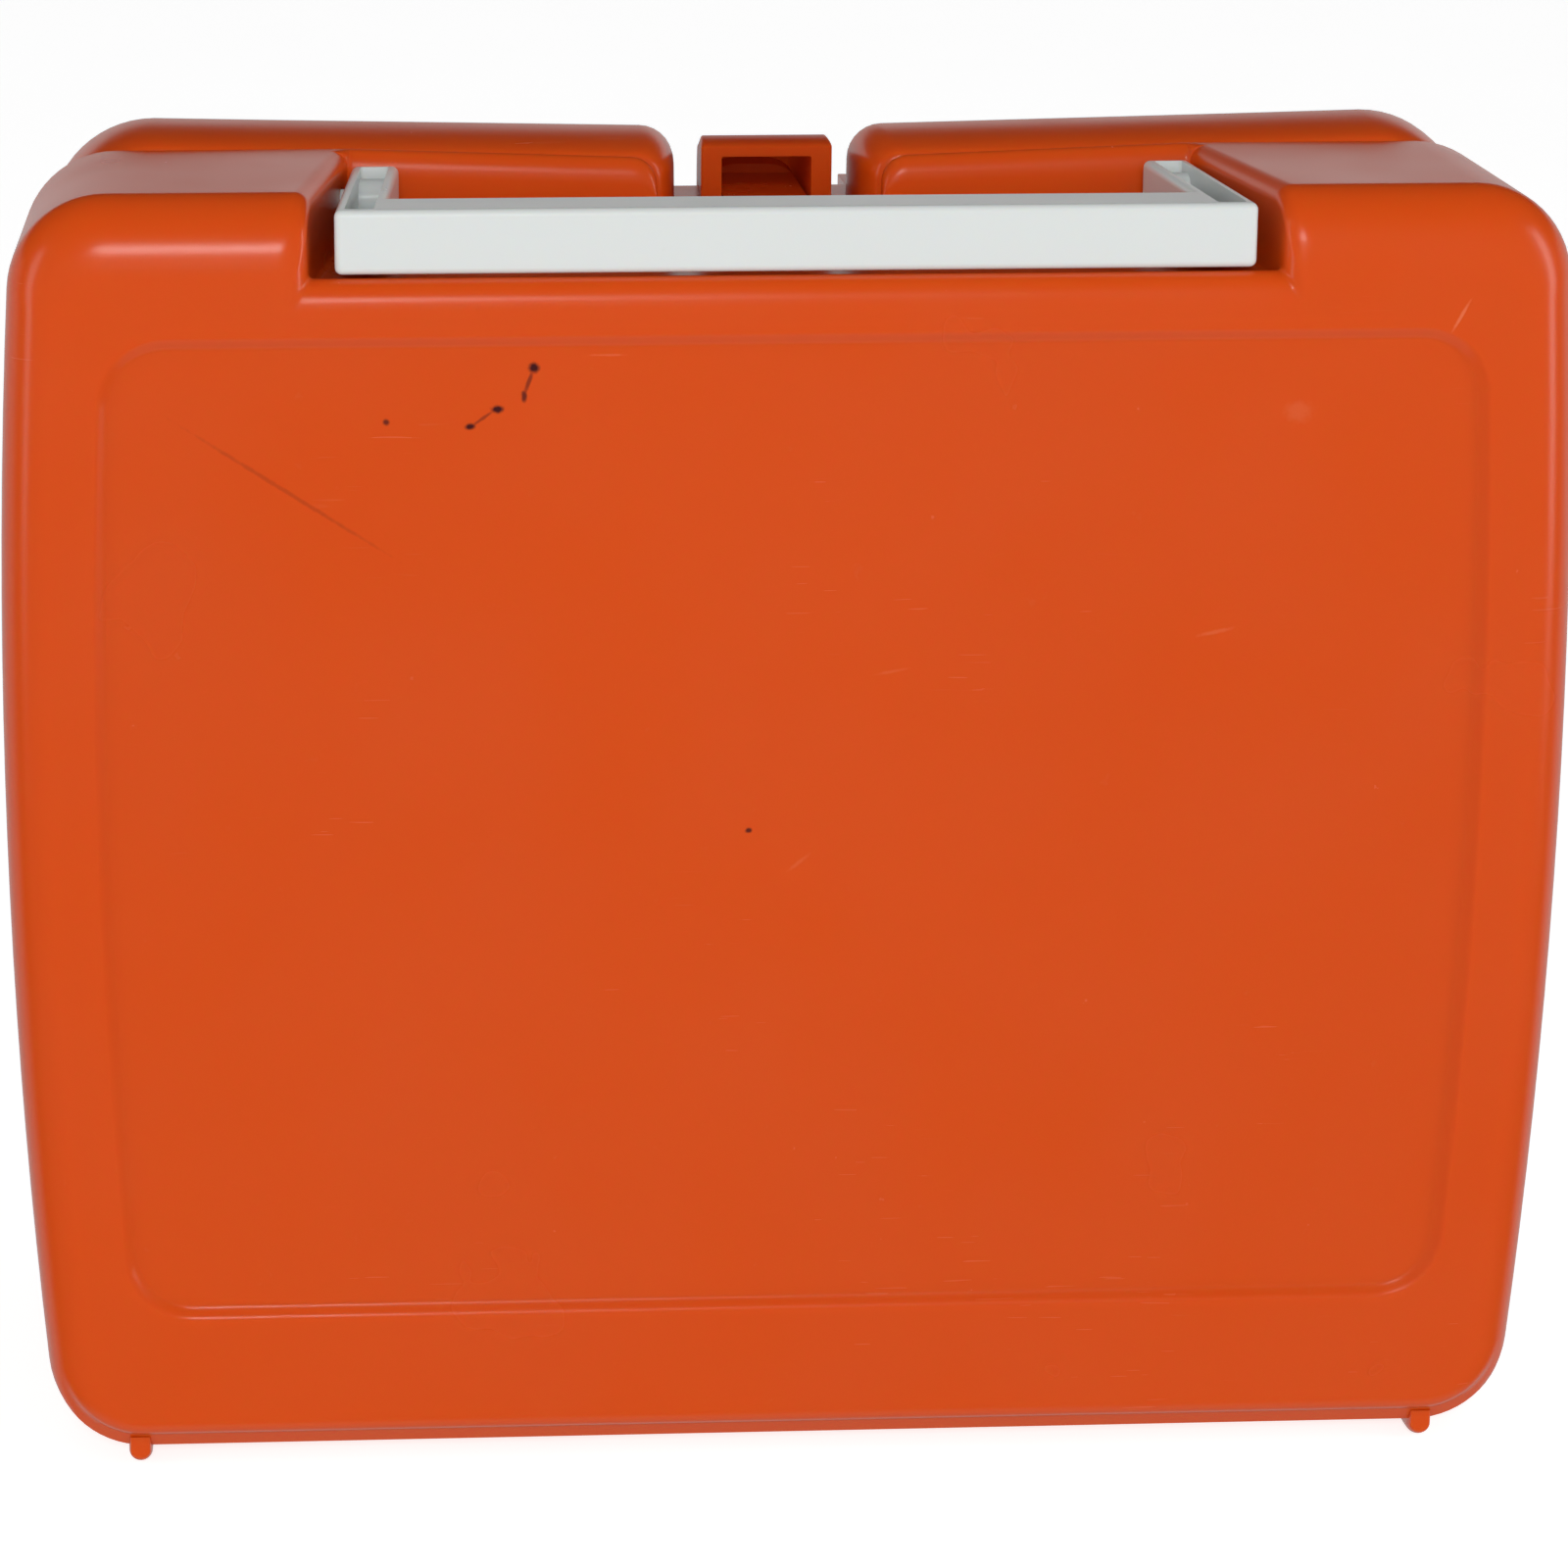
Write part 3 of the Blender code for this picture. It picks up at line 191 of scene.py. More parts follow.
# Grids, posts, ships and pegs
ROWS = 10
PITCH = 0.0145
GRID_X = -0.0380
GRID_Z = 0.0970
HOLE_RADIUS = 0.00185
HOLE_SINK_RADIUS = HOLE_RADIUS * 1.35
PLATE_INSET = 0.0028
PLATE_EDGE = 0.0003
STORE_COLUMNS = (11, 13)
STORE_ROWS = (2, 3, 4, 5, 6, 7)
POST_X = {"ocean": 0.1060, "target": 0.1020}
POST_Z = (0.0200, 0.1740)
POST_RADIUS = 0.0040
SCREW_BORE = 0.0017
SCREW_BORE_DEPTH = 0.0090
PIN_CHAMFER = 0.0003
SHIP_HALF_BEAM = 0.0044
SHIP_BOW = 0.0075
SHIP_STERN = 0.0030

# Ships: holes, then the deckhouse's middle in hole pitches, its half length and its height
SHIPS = {
    "ship_five_holes": (5, 0.5, 0.0038, 0.0092),
    "ship_four_holes": (4, 0.0, 0.0042, 0.0090),
    "ship_three_holes_a": (3, 0.5, 0.0034, 0.0084),
    "ship_three_holes_b": (3, -0.5, 0.0028, 0.0078),
    "ship_two_holes": (2, 0.0, 0.0034, 0.0082),
}

# Brightness of the world: in reflections, and as soft light
BACKDROP_LEVEL = 0.60
BACKDROP_EDGE = 0.26
NADIR_LEVEL = 0.40
MIRROR_DIM = 0.02
FRONT_LEVEL = 0.60
SOFT_LEVEL = 0.24
FLOOR_GLOW = 0.78

# Area lights: place, size, watts, and whether reflections show them
LIGHT_TARGET = (0.0, 0.0, 0.10)
LIGHTS = {
    "key": ((-0.15, -2.00, 1.00), (0.42, 0.42), 11.0, False),
    "sparkle": ((-0.15, -2.00, 1.10), (0.16, 0.16), 3.0, True),
    "low_front": ((-0.10, -1.60, 0.45), (0.30, 0.30), 3.0, False),
    "left": ((-1.10, -0.45, 0.35), (0.25, 0.90), 1.2, True),
    "right": ((1.05, -0.45, 0.35), (0.25, 0.90), 2.4, True),
}

# The camera: millimetres, shares of the frame's width, metres and degrees
SENSOR_WIDTH = 36.0
LENS = 110.4
SHIFT = (0.132, -0.087)
CAMERA_PLACE = (-0.0697, -0.7552, 0.3140)
CAMERA_DOWN = 14.33
CAMERA_TURN = -2.96

# Plastics: colour, its deeper mottling, the tint of scuffs, and roughness
PLASTICS = {
    "case_orange": ((0.660, 0.072, 0.0040), (0.615, 0.065, 0.0034), (0.78, 0.24, 0.12), 0.24),
    "latch_orange": ((0.66, 0.080, 0.006), (0.60, 0.070, 0.005), (0.80, 0.24, 0.12), 0.22),
    "handle_white": ((0.66, 0.69, 0.68), (0.62, 0.64, 0.62), (0.30, 0.26, 0.20), 0.24),
    "grid_blue": ((0.030, 0.110, 0.300), (0.020, 0.080, 0.240), (0.10, 0.22, 0.45), 0.38),
    "ship_grey": ((0.23, 0.25, 0.27), (0.18, 0.20, 0.22), (0.38, 0.40, 0.42), 0.42),
    "peg_white": ((0.80, 0.80, 0.77), (0.72, 0.72, 0.68), (0.60, 0.56, 0.50), 0.33),
    "peg_red": ((0.55, 0.020, 0.015), (0.45, 0.014, 0.010), (0.70, 0.15, 0.12), 0.33),
}

ROOT = bpy.context.scene.collection


def quarter(steps):
    """The angles along a quarter turn, both ends included."""
    return [math.pi / 2 * step / steps for step in range(steps + 1)]


def circle_drop(distance, radius):
    """How far a round edge of that radius falls short at a distance from its start."""
    share = max(0.0, 1.0 - distance / radius)
    return radius * (1.0 - math.sqrt(max(0.0, 1.0 - share * share)))


def shrink_at(depth):
    """The share of the face rounding that is left at a depth behind the face."""
    if depth >= ROUND_DEPTH:
        return 0.0
    return 1.0 - math.sin(math.acos(1.0 - max(0.0, depth) / ROUND_DEPTH))


def low_at(depth, rim_depth):
    """Height of a shell's lower edge at a depth: tight lip, chamfer, skirt and hinge relief."""
    if depth < LIP_DEPTH:
        lip = LIP_HEIGHT - LIP_FLOOR
        return LIP_FLOOR + circle_drop(depth * lip / LIP_DEPTH, lip)
    if depth < SKIRT_DEPTH:
        return LIP_FLOOR + (BASE_Z - LIP_FLOOR) * (depth - LIP_DEPTH) / (SKIRT_DEPTH - LIP_DEPTH)
    return BASE_Z + max(0.0, depth - (rim_depth - HINGE_RELIEF))


def side_x(half, z):
    """The bowed side's distance from the middle at a height."""
    return half - (z - BOW_CENTRE_Z) ** 2 / (2 * BOW_RADIUS)


def arc(cx, cz, rx, rz, start, end, steps):
    """Points along an elliptical arc, both ends included."""
    points = []
    for step in range(steps + 1):
        angle = start + (end - start) * step / steps
        points.append((cx + rx * math.cos(angle), cz + rz * math.sin(angle)))
    return points


def corner_points(half, centre_z, radius, end):
    """A corner from the bowed side round to the level run."""
    tilt = math.asin((centre_z - BOW_CENTRE_Z) / BOW_RADIUS)
    centre_x = side_x(half, centre_z + radius * math.sin(tilt)) - radius * math.cos(tilt)
    return arc(centre_x, centre_z, radius, radius, tilt, end, CORNER_STEPS)


def outline(half, low, high, low_radius, high_radius, dips, crown=0.0, crown_x=1.0):
    """A ring of (x, z) points. Each dip is (half width, floor, edge radius, foot radius, sink).

    A dip goes down to its floor, and at least its sink below the top beside it. One whose floor
    is above the top and whose sink is nothing keeps its points but has no depth, so every ring
    of a shell has the same count of points.
    """
    lower = corner_points(half, low + low_radius, low_radius, -math.pi / 2)
    upper = corner_points(half, high - high_radius, high_radius, math.pi / 2)
    right = [(lower[-1][0] * step / BOTTOM_STEPS, low) for step in range(BOTTOM_STEPS)]
    right += lower[::-1]
    for step in range(1, SIDE_STEPS):
        z = lower[0][1] + (upper[0][1] - lower[0][1]) * step / SIDE_STEPS
        right.append((side_x(half, z), z))
    right += upper

    def level(x):
        return high - crown * max(0.0, 1.0 - x / crown_x)

    at_x = upper[-1][0]
    for dip_half, floor, edge, foot, sink in dips:
        above = level

        def level(x, floor=floor, above=above, sink=sink):
            return min(above(x) - sink, floor)

        start_x = dip_half + DRAFT + edge
        for step in range(1, SHOULDER_STEPS):
            x = at_x + (start_x - at_x) * step / SHOULDER_STEPS
            right.append((x, above(x)))
        drop = above(dip_half) - level(dip_half)
        edge_rise = min(edge, drop / 2)
        foot_rise = min(foot, drop / 2)
        for x, fall in arc(start_x, 0.0, edge, edge_rise, math.pi / 2, math.pi, DIP_STEPS):
            right.append((x, above(x) - edge_rise + fall))
        at_x = dip_half - DRAFT - foot
        for x, rise in arc(at_x, 0.0, foot, foot_rise, 0.0, -math.pi / 2, DIP_STEPS):
            right.append((x, level(x) + foot_rise + rise))
    for step in range(1, SHOULDER_STEPS):
        x = at_x * (1 - step / SHOULDER_STEPS)
        right.append((x, level(x)))
    middle = [(0.0, level(0.0))]
    left = [(-x, z) for x, z in reversed(right[1:])]
    return right + middle + left


def ring(points, y):
    """The (x, z) points in the plane at y."""
    return [Vector((x, y, z)) for x, z in points]


def linked(name, bm):
    """An object that holds a bmesh with its faces pointing out."""
    bmesh.ops.recalc_face_normals(bm, faces=bm.faces)
    mesh = bpy.data.meshes.new(name)
    bm.to_mesh(mesh)
    bm.free()
    made = bpy.data.objects.new(name, mesh)
    ROOT.objects.link(made)
    return made


def loft(name, rings):
    """A closed solid through rings of equal point count."""
    bm = bmesh.new()
    loops = [[bm.verts.new(point) for point in one] for one in rings]
    count = len(rings[0])
    for before, after in zip(loops, loops[1:]):
        for index in range(count):
            following = (index + 1) % count
            bm.faces.new((before[index], before[following], after[following], after[index]))
    bm.faces.new(loops[0])
    bm.faces.new(loops[-1])
    return linked(name, bm)


def box(name, low, high):
    """A box between two corners, used as a tool or rounded later."""
    low = Vector(low)
    high = Vector(high)
    bm = bmesh.new()
    bmesh.ops.create_cube(bm, size=1.0)
    bmesh.ops.scale(bm, vec=high - low, verts=bm.verts)
    bmesh.ops.translate(bm, vec=(low + high) / 2, verts=bm.verts)
    return linked(name, bm)


def at_y(low, high, y):
    """The middle of a box in X and Z, at a given y."""
    return Vector(((low.x + high.x) / 2, y, (low.z + high.z) / 2))


def rod(name, start, end, radius, sides=32):
    """A straight rod between two points."""
    start = Vector(start)
    along = Vector(end) - start
    turn = along.to_track_quat("Z", "Y").to_matrix().to_4x4()
    bm = bmesh.new()
    bmesh.ops.create_cone(
        bm, cap_ends=True, segments=sides, radius1=radius, radius2=radius,
        depth=along.length, matrix=Matrix.Translation(start + along / 2) @ turn,
    )
    return linked(name, bm)


def baked(target):
    """Apply an object's modifiers to its mesh."""
    evaluated = target.evaluated_get(bpy.context.evaluated_depsgraph_get())
    target.data = bpy.data.meshes.new_from_object(evaluated)
    target.modifiers.clear()
    return target


def combine(target, operation, tools):
    """Apply one Boolean of the target with each tool, and remove the tools."""
    for tool in tools:
        modifier = target.modifiers.new("combine", "BOOLEAN")
        modifier.operation = operation
        modifier.solver = "EXACT"
        modifier.object = tool
        baked(target)
        bpy.data.objects.remove(tool, do_unlink=True)
    return target


def cut(target, *tools):
    """Take the tools away from the target."""
    return combine(target, "DIFFERENCE", tools)


def join(target, *tools):
    """Fuse the tools into the target."""
    return combine(target, "UNION", tools)


def rounded(target, width, segments=3, degrees=40):
    """Round a piece's edges."""
    modifier = target.modifiers.new("round", "BEVEL")
    modifier.width = width
    modifier.segments = segments
    modifier.limit_method = "ANGLE"
    modifier.angle_limit = math.radians(degrees)
    modifier.harden_normals = False
    return baked(target)


def smooth(piece, degrees=32):
    """Smooth shading that keeps flat faces flat and real edges sharp."""
    piece.data.shade_smooth()
    piece.data.set_sharp_from_angle(angle=math.radians(degrees))
    weighted = piece.modifiers.new("weighted", "WEIGHTED_NORMAL")
    weighted.keep_sharp = True
    return piece


def place(piece, body, node, slot, material):
    """Give a piece its material and body, and let it stand for its CAD node; the slot is not used."""
    piece.data.materials.clear()
    piece.data.materials.append(material)
    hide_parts(node)
    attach(piece, body)
    return piece


def panel_rings(y_of, high, dips):
    """Rings of a face panel with a soft sunken edge, from its floor outwards."""
    rings = []
    for step in range(PANEL_STEPS + 1):
        share = step / PANEL_STEPS
        inset = PANEL_BEVEL * (1 - share)
        depth = PANEL_DEPTH * (1 - share * share * (3 - 2 * share))
        radius = PANEL_RADIUS - inset
        points = outline(PANEL_HALF - inset, PANEL_LOW + inset, high - inset, radius, radius, dips)
        rings.append(ring(points, y_of(depth)))
    return rings


def wall_outline(half, high, corner, depth, rim_depth, inset, dips, crown, crown_x):
    """One outline of a shell's wall, at a depth behind its face and an inset inside it."""
    if inset:
        offset = inset + PANEL_DEPTH
        low = low_at(depth - offset, 2 * rim_depth) + inset
        rim_inset = 0.0
    else:
        offset = 0.0
        low = low_at(depth, rim_depth)
        rim_inset = circle_drop(rim_depth - depth, RIM_EDGE)
    shrink = shrink_at(depth - offset)
    side = ROUND_SIDE * shrink
    return outline(
        half - side - inset - rim_inset,
        low,
        high - ROUND_TOP * shrink - inset - rim_inset,
        max(BASE_CORNER_RADIUS - side - inset, LEAST_CORNER),
        max(corner - side - inset, LEAST_CORNER),
        dips,
        crown,
        crown_x,
    )


def rounding_depths():
    """Depths at which the rounding behind a face is sampled."""
    return [ROUND_DEPTH * (1 - math.cos(angle)) for angle in quarter(ROUND_STEPS)]


def recess_half(depth, inset):
    """Half width of the handle recess, with a round vertical edge at the face."""
    flare = 0.0 if inset else circle_drop(depth, RECESS_EDGE)
    return RECESS_HALF - RECESS_TAPER * depth + inset + flare


def rim_share(y):
    """How far the collar's rounding has come at y, from 0 at its crest to 1 at the rim."""
    across = min(1.0, max(0.0, COLLAR_CREST_Y - y) / (COLLAR_CREST_Y - FRONT_HIGH.y + FRONT_DEPTH))
    return 1.0 - math.sqrt(1.0 - across * across)


def notch_half(y):
    """Half width of the latch notch at y, narrowest at the collar's crest."""
    front = max(0.0, y - COLLAR_CREST_Y) / (FRONT_HIGH.y - COLLAR_CREST_Y)
    return NOTCH_HALF + NOTCH_FLARE * rim_share(y) + (NOTCH_FRONT_HALF - NOTCH_HALF) * front


def rear_dips(depth, floor, inset=0.0, sink=0.0):
    """The handle recess and, where the wall rises above it, the latch notch."""
    notch = NO_DIP if inset else NOTCH_FLOOR
    return [
        (recess_half(depth, inset), floor - inset, RECESS_EDGE, RECESS_FOOT, sink),
        (NOTCH_HALF + NOTCH_FLARE, notch, RIM_NOTCH_CORNER, NOTCH_FOOT, 0.0),
    ]


def recess_floor(depth):
    """Height of the recess floor at a depth: a proud round lip that falls to the level floor."""
    if depth < RECESS_LIP:
        across = 1.0 - depth / RECESS_LIP
        return RECESS_LIP_Z - RECESS_LIP_DROP * (1.0 - math.sqrt(1.0 - across * across))
    share = min(1.0, (depth - RECESS_LIP) / RECESS_LIP_FALL)
    return RECESS_LIP_Z - (RECESS_LIP_Z - RECESS_FLOOR) * share * share * (3.0 - 2.0 * share)


def rear_profile():
    """(depth, recess floor, sink) rows down the rear shell's outside, from its face to its rim."""
    rows = [(depth, recess_floor(depth), 0.0) for depth in rounding_depths()]
    wall_depth = REAR_DEPTH - RIM_WALL
    start = wall_depth - RECESS_FILLET
    for step in range(1, REAR_FLOOR_STEPS):
        depth = ROUND_DEPTH + (start - ROUND_DEPTH) * step / REAR_FLOOR_STEPS
        rows.append((depth, RECESS_FLOOR, 0.0))
    for angle in quarter(QUARTER_STEPS):
        rise = RECESS_FILLET * (1 - math.cos(angle))
        rows.append((start + RECESS_FILLET * math.sin(angle), RECESS_FLOOR + rise, 0.0))
    for angle in quarter(QUARTER_STEPS):
        depth = wall_depth + RIM_ROUND_DEPTH * (1 - math.cos(angle))
        rows.append((depth, NO_DIP, RIM_ROUND_DROP * (1 - math.sin(angle))))
    return rows


def without_depth(dips):
    """The same dips with no depth, for rings that only need their points."""
    return [(half, NO_DIP, edge, foot, 0.0) for half, _, edge, foot, _ in dips]


def rear_outline(depth, inset, dips):
    """One outline of the rear shell's wall."""
    sizes = (REAR_HIGH.x, REAR_HIGH.z, REAR_CORNER_RADIUS)
    return wall_outline(*sizes, depth, REAR_DEPTH, inset, dips, REAR_CROWN_DROP, REAR_CROWN_X)


def rear_loft():
    """The rear shell's continuous outer and inner surface."""

    def y_of(depth):
        return REAR_LOW.y + depth

    def add(depth, inset, dips):
        rings.append(ring(rear_outline(depth, inset, dips), y_of(depth)))

    rings = panel_rings(y_of, PANEL_HIGH, without_depth(rear_dips(0.0, NO_DIP)))
    for depth, floor, sink in rear_profile():
        add(depth, 0.0, rear_dips(depth, floor, 0.0, sink))
    for share in (0.5, 0.2, 0.0):
        depth = REAR_DEPTH - RIM_EDGE * share
        add(depth, 0.0, rear_dips(depth, NO_DIP))
    face = WALL + PANEL_DEPTH
    rounding = [face + depth for depth in reversed(rounding_depths()[::2])]
    for depth in [REAR_DEPTH] + REAR_INNER_DEPTHS + rounding:
        add(depth, WALL, rear_dips(depth, RECESS_FLOOR, WALL))
    return loft("rear_shell_form", rings)


def front_dips(depth, floor, inset=0.0):
    """The latch notch, and the well in its floor near the face."""
    y = FRONT_HIGH.y - depth
    corner = NOTCH_CORNER + (RIM_NOTCH_CORNER - NOTCH_CORNER) * rim_share(y)
    grow = inset if inset else circle_drop(depth, WELL_EDGE)
    half = notch_half(y)
    well_half = min(WELL_HALF, half - WELL_STEP)
    well_floor = floor if floor < NOTCH_FLOOR else NO_DIP
    return [
        (half + grow, NOTCH_FLOOR - inset, corner, NOTCH_FOOT, 0.0),
        (well_half + grow, well_floor - inset, WELL_CORNER, WELL_CORNER, 0.0),
    ]


def front_top(depth):
    """Height of the front shell's top: drafted up to the collar's crest, then round to the rim."""
    y = FRONT_HIGH.y - depth
    front = max(0.0, y - COLLAR_CREST_Y) / (FRONT_HIGH.y - ROUND_DEPTH - COLLAR_CREST_Y)
    return FRONT_HIGH.z - COLLAR_DROP * rim_share(y) - FRONT_TOP_DRAFT * min(1.0, front)


def front_profile():
    """(depth, notch floor) pairs down the outside of the front shell, from its face to its rim."""
    pairs = [(depth, WELL_FLOOR) for depth in rounding_depths()]
    pairs += [(WELL_DEPTH - DRAFT, WELL_FLOOR), (WELL_DEPTH, NOTCH_FLOOR)]
    crest = FRONT_HIGH.y - COLLAR_CREST_Y
    for step in range(1, NOTCH_STEPS):
        pairs.append((WELL_DEPTH + (crest - WELL_DEPTH) * step / NOTCH_STEPS, NOTCH_FLOOR))
    for angle in quarter(COLLAR_STEPS):
        pairs.append((crest + (FRONT_DEPTH - crest) * math.sin(angle), NOTCH_FLOOR))
    return pairs


def front_outline(depth, inset, dips):
    """One outline of the front shell's wall, with the collar set in towards the rim."""
    half = FRONT_HIGH.x - COLLAR_SET_IN * rim_share(FRONT_HIGH.y - depth)
    crown = (FRONT_CROWN_DROP, FRONT_HIGH.x - FRONT_CORNER_RADIUS)
    sizes = (half, front_top(depth), FRONT_CORNER_RADIUS)
    return wall_outline(*sizes, depth, FRONT_DEPTH, inset, dips, *crown)


def front_loft():
    """The front shell's continuous outer and inner surface."""

    def y_of(depth):
        return FRONT_HIGH.y - depth

    rings = panel_rings(y_of, FRONT_PANEL_HIGH, without_depth(front_dips(0.0, NO_DIP)))
    for depth, floor in front_profile():
        rings.append(ring(front_outline(depth, 0.0, front_dips(depth, floor)), y_of(depth)))
    face = WALL + PANEL_DEPTH
    well = WELL_DEPTH + WALL
    rounding = [face + depth for depth in reversed(rounding_depths()[::2]) if face + depth < well]
    for depth in [FRONT_DEPTH] + FRONT_INNER_DEPTHS + [well + DRAFT, well] + rounding:
        floor = WELL_FLOOR if depth <= well else NOTCH_FLOOR
        rings.append(ring(front_outline(depth, WALL, front_dips(depth, floor, WALL)), y_of(depth)))
    return loft("front_shell_form", rings)


def along_x(name, start, end, axis, radius, sides=32):
    """A rod along X, through a point on its axis."""
    return rod(name, (start, axis.y, axis.z), (end, axis.y, axis.z), radius, sides)


def knuckles(shell, own, other):
    """Hinge knuckles at the given places (-1, 0 or 1) of both hinges, with room for the others."""
    pitch = KNUCKLE_LENGTH + KNUCKLE_GAP
    half = KNUCKLE_LENGTH / 2

    def barrel(name, middle, reach, radius, sides=32):
        return along_x(name, middle - reach, middle + reach, CASE_HINGE, radius, sides)

    for centre in (-HINGE_X, HINGE_X):
        owned = [centre + pitch * spot for spot in own]
        for spot in other:
            relief = barrel("relief", centre + pitch * spot, half + KNUCKLE_GAP, KNUCKLE_RADIUS + 2 * GAP)
            cut(shell, relief)
        for middle in owned:
            join(shell, rounded(barrel("knuckle", middle, half, KNUCKLE_RADIUS), GAP, 2))
        for middle in owned:
            cut(shell, barrel("bore", middle, half + GAP, PIN_RADIUS + GAP, 24))


def skid_rib(x, face_end, hinge_end):
    """A skid rib with a round lower edge that rises at the end near the face."""
    points = [(RIB_HALF, BASE_Z + WALL / 2)]
    points += arc(0.0, RIB_HALF, RIB_HALF, RIB_HALF, 0.0, -math.pi, 18)
    points.append((-RIB_HALF, BASE_Z + WALL / 2))
    inward = 1 if hinge_end > face_end else -1
    rows = []
    for step, angle in enumerate(quarter(QUARTER_STEPS)):
        share = RIB_END_SHARE + (1.0 - RIB_END_SHARE) * min(1.0, 2 * step / QUARTER_STEPS)
        y = face_end + inward * RIB_END_LENGTH * (1 - math.cos(angle))
        rows.append((y, share, RIB_END_RISE * (1 - math.sin(angle))))
    for gaps, share in ((2, 1.0), (1, 0.95), (0, RIB_END_SHARE)):
        rows.append((hinge_end - inward * GAP * gaps, share, 0.0))
    rings = []
    for y, share, rise in rows:
        section = [(x + px * share, RIB_HALF + (pz - RIB_HALF) * share + rise) for px, pz in points]
        rings.append(ring(section, y))
    return loft("skid_rib", rings)


def post_places(which):
    """The (x, z) places of a grid's four screws."""
    return [(side * POST_X[which], z) for side in (-1, 1) for z in POST_Z]


def posts(shell, which, wall_y, tip_y):
    """Screw posts for a grid, with bored tips."""
    inward = 1 if tip_y > wall_y else -1
    bore_start = tip_y + inward * GAP
    bore_end = tip_y - inward * SCREW_BORE_DEPTH
    for x, z in post_places(which):
        join(shell, rod("post", (x, wall_y, z), (x, tip_y, z), POST_RADIUS, 28))
        cut(shell, rod("bore", (x, bore_start, z), (x, bore_end, z), SCREW_BORE, 20))


def tongue():
    """The catch tongue, with a crowned end and round edges."""
    root_y = REAR_RIM_Y - RIM_WALL
    low = NOTCH_FLOOR + 2 * GAP
    end_y = REAR_HIGH.y
    slab = box("slab", (-TONGUE_HALF, root_y, low), (TONGUE_HALF, end_y, TONGUE_TOP))
    crown = [(TONGUE_HALF, low)]
    steps = 24
    for step in range(steps + 1):
        across = 1 - 2 * step / steps
        crown.append((TONGUE_HALF * across, CATCH_TOP - (CATCH_TOP - TONGUE_TOP) * across ** 4))
    crown.append((-TONGUE_HALF, low))
    join(slab, rounded(loft("catch", [ring(crown, end_y - CATCH_LENGTH), ring(crown, end_y)]), GAP, 2, 60))
    root = box(
        "root",
        (-TONGUE_HALF, root_y - RIM_WALL, RECESS_FLOOR - WALL / 2),
        (TONGUE_HALF, REAR_RIM_Y, TONGUE_TOP),
    )
    return join(slab, root)


def build_rear_shell(material):
    """The rear shell with its tongue, ribs, hinge knuckles, posts and pivot bores."""
    shell = rear_loft()
    join(shell, tongue())
    for side in (-1, 1):
        start_y = REAR_LOW.y + RIB_INSET
        join(shell, skid_rib(side * RIB_X, start_y, CASE_HINGE.y - RIB_HINGE_GAP))
        reach = sorted((side * PIVOT_INNER_X, side * (RECESS_HALF + WALL)))
        cut(shell, along_x("bore", *reach, HANDLE_HINGE, PIVOT_RADIUS + GAP, 24))
    knuckles(shell, (-1, 1), (0,))
    posts(shell, "ocean", REAR_LOW.y + PANEL_DEPTH + WALL / 2, OCEAN_LOW.y - GAP)
    place(smooth(shell), "rear_case", "rear_shell", "case_plastic", material)


def build_front_shell(material):
    """The front shell with its ribs, hinge knuckles, posts and latch bore."""
    shell = front_loft()
    for side in (-1, 1):
        face_end = FRONT_HIGH.y - RIB_INSET
        join(shell, skid_rib(side * RIB_X, face_end, CASE_HINGE.y + RIB_HINGE_GAP))
    reach = WELL_HALF + WALL / 2
    cut(shell, along_x("bore", -reach, reach, LATCH_HINGE, PIN_RADIUS + GAP, 24))
    knuckles(shell, (0,), (-1, 1))
    posts(shell, "target", FRONT_HIGH.y - PANEL_DEPTH - WALL / 2, TARGET_HIGH.y + GAP)
    place(smooth(shell), "front_case", "front_shell", "case_plastic", material)


def handle_half(y):
    """Half width of the handle's outer side at y."""
    share = (y - HANDLE_LOW.y) / (HANDLE_HIGH.y - HANDLE_LOW.y)
    return HANDLE_HIGH.x - HANDLE_TAPER * share


def both_sides(points):
    """A symmetric (x, y) plan from the points of its right side."""
    return points + [(-x, y) for x, y in reversed(points)]


def prism(name, plan, low_z, high_z):
    """A prism over an (x, y) plan."""
    return loft(name, [[Vector((x, y, z)) for x, y in plan] for z in (low_z, high_z)])


def build_handle(material):
    """The bail: a rounded grip and two channelled arms with pivot bosses."""
    rear = HANDLE_HIGH.y
    front = HANDLE_LOW.y
    plan = both_sides([(handle_half(y), y) for y in (front, rear)])
    handle = prism("handle_form", plan, HANDLE_LOW.z, HANDLE_HIGH.z)
    opening = both_sides([(handle_half(y) - ARM_WIDTH, y) for y in (front + GRIP_DEPTH, rear + WALL)])
    cut(handle, prism("opening", opening, HANDLE_LOW.z - WALL, HANDLE_HIGH.z + WALL))
    rounded(handle, HANDLE_ROUND, 5)
    start = front + ARM_WALL
    end = rear - ARM_WALL
    inner_wall = ARM_WIDTH - ARM_WALL
    for side in (-1, 1):
        rows = ((ARM_WALL, start), (ARM_WALL, end), (inner_wall, end), (inner_wall, start))
        channel = [(side * (handle_half(y) - inset), y) for inset, y in rows]
        pocket = prism("channel", channel, HANDLE_LOW.z + ARM_FLOOR, HANDLE_HIGH.z + WALL)
        cut(handle, rounded(pocket, CHANNEL_EDGE, 3))
        outer = handle_half(HANDLE_HINGE.y)
        ends = sorted(side * (outer - inset) for inset in (inner_wall + ARM_WALL / 2, ARM_WALL / 2))
        join(handle, along_x("boss", *ends, HANDLE_HINGE, BOSS_RADIUS, 40))
        bore = sorted((side * (PIVOT_INNER_X - GAP), side * (outer + WALL)))
        cut(handle, along_x("bore", *bore, HANDLE_HINGE, PIVOT_RADIUS + GAP, 28))
    place(smooth(handle), "handle", "handle", "handle_plastic", material)


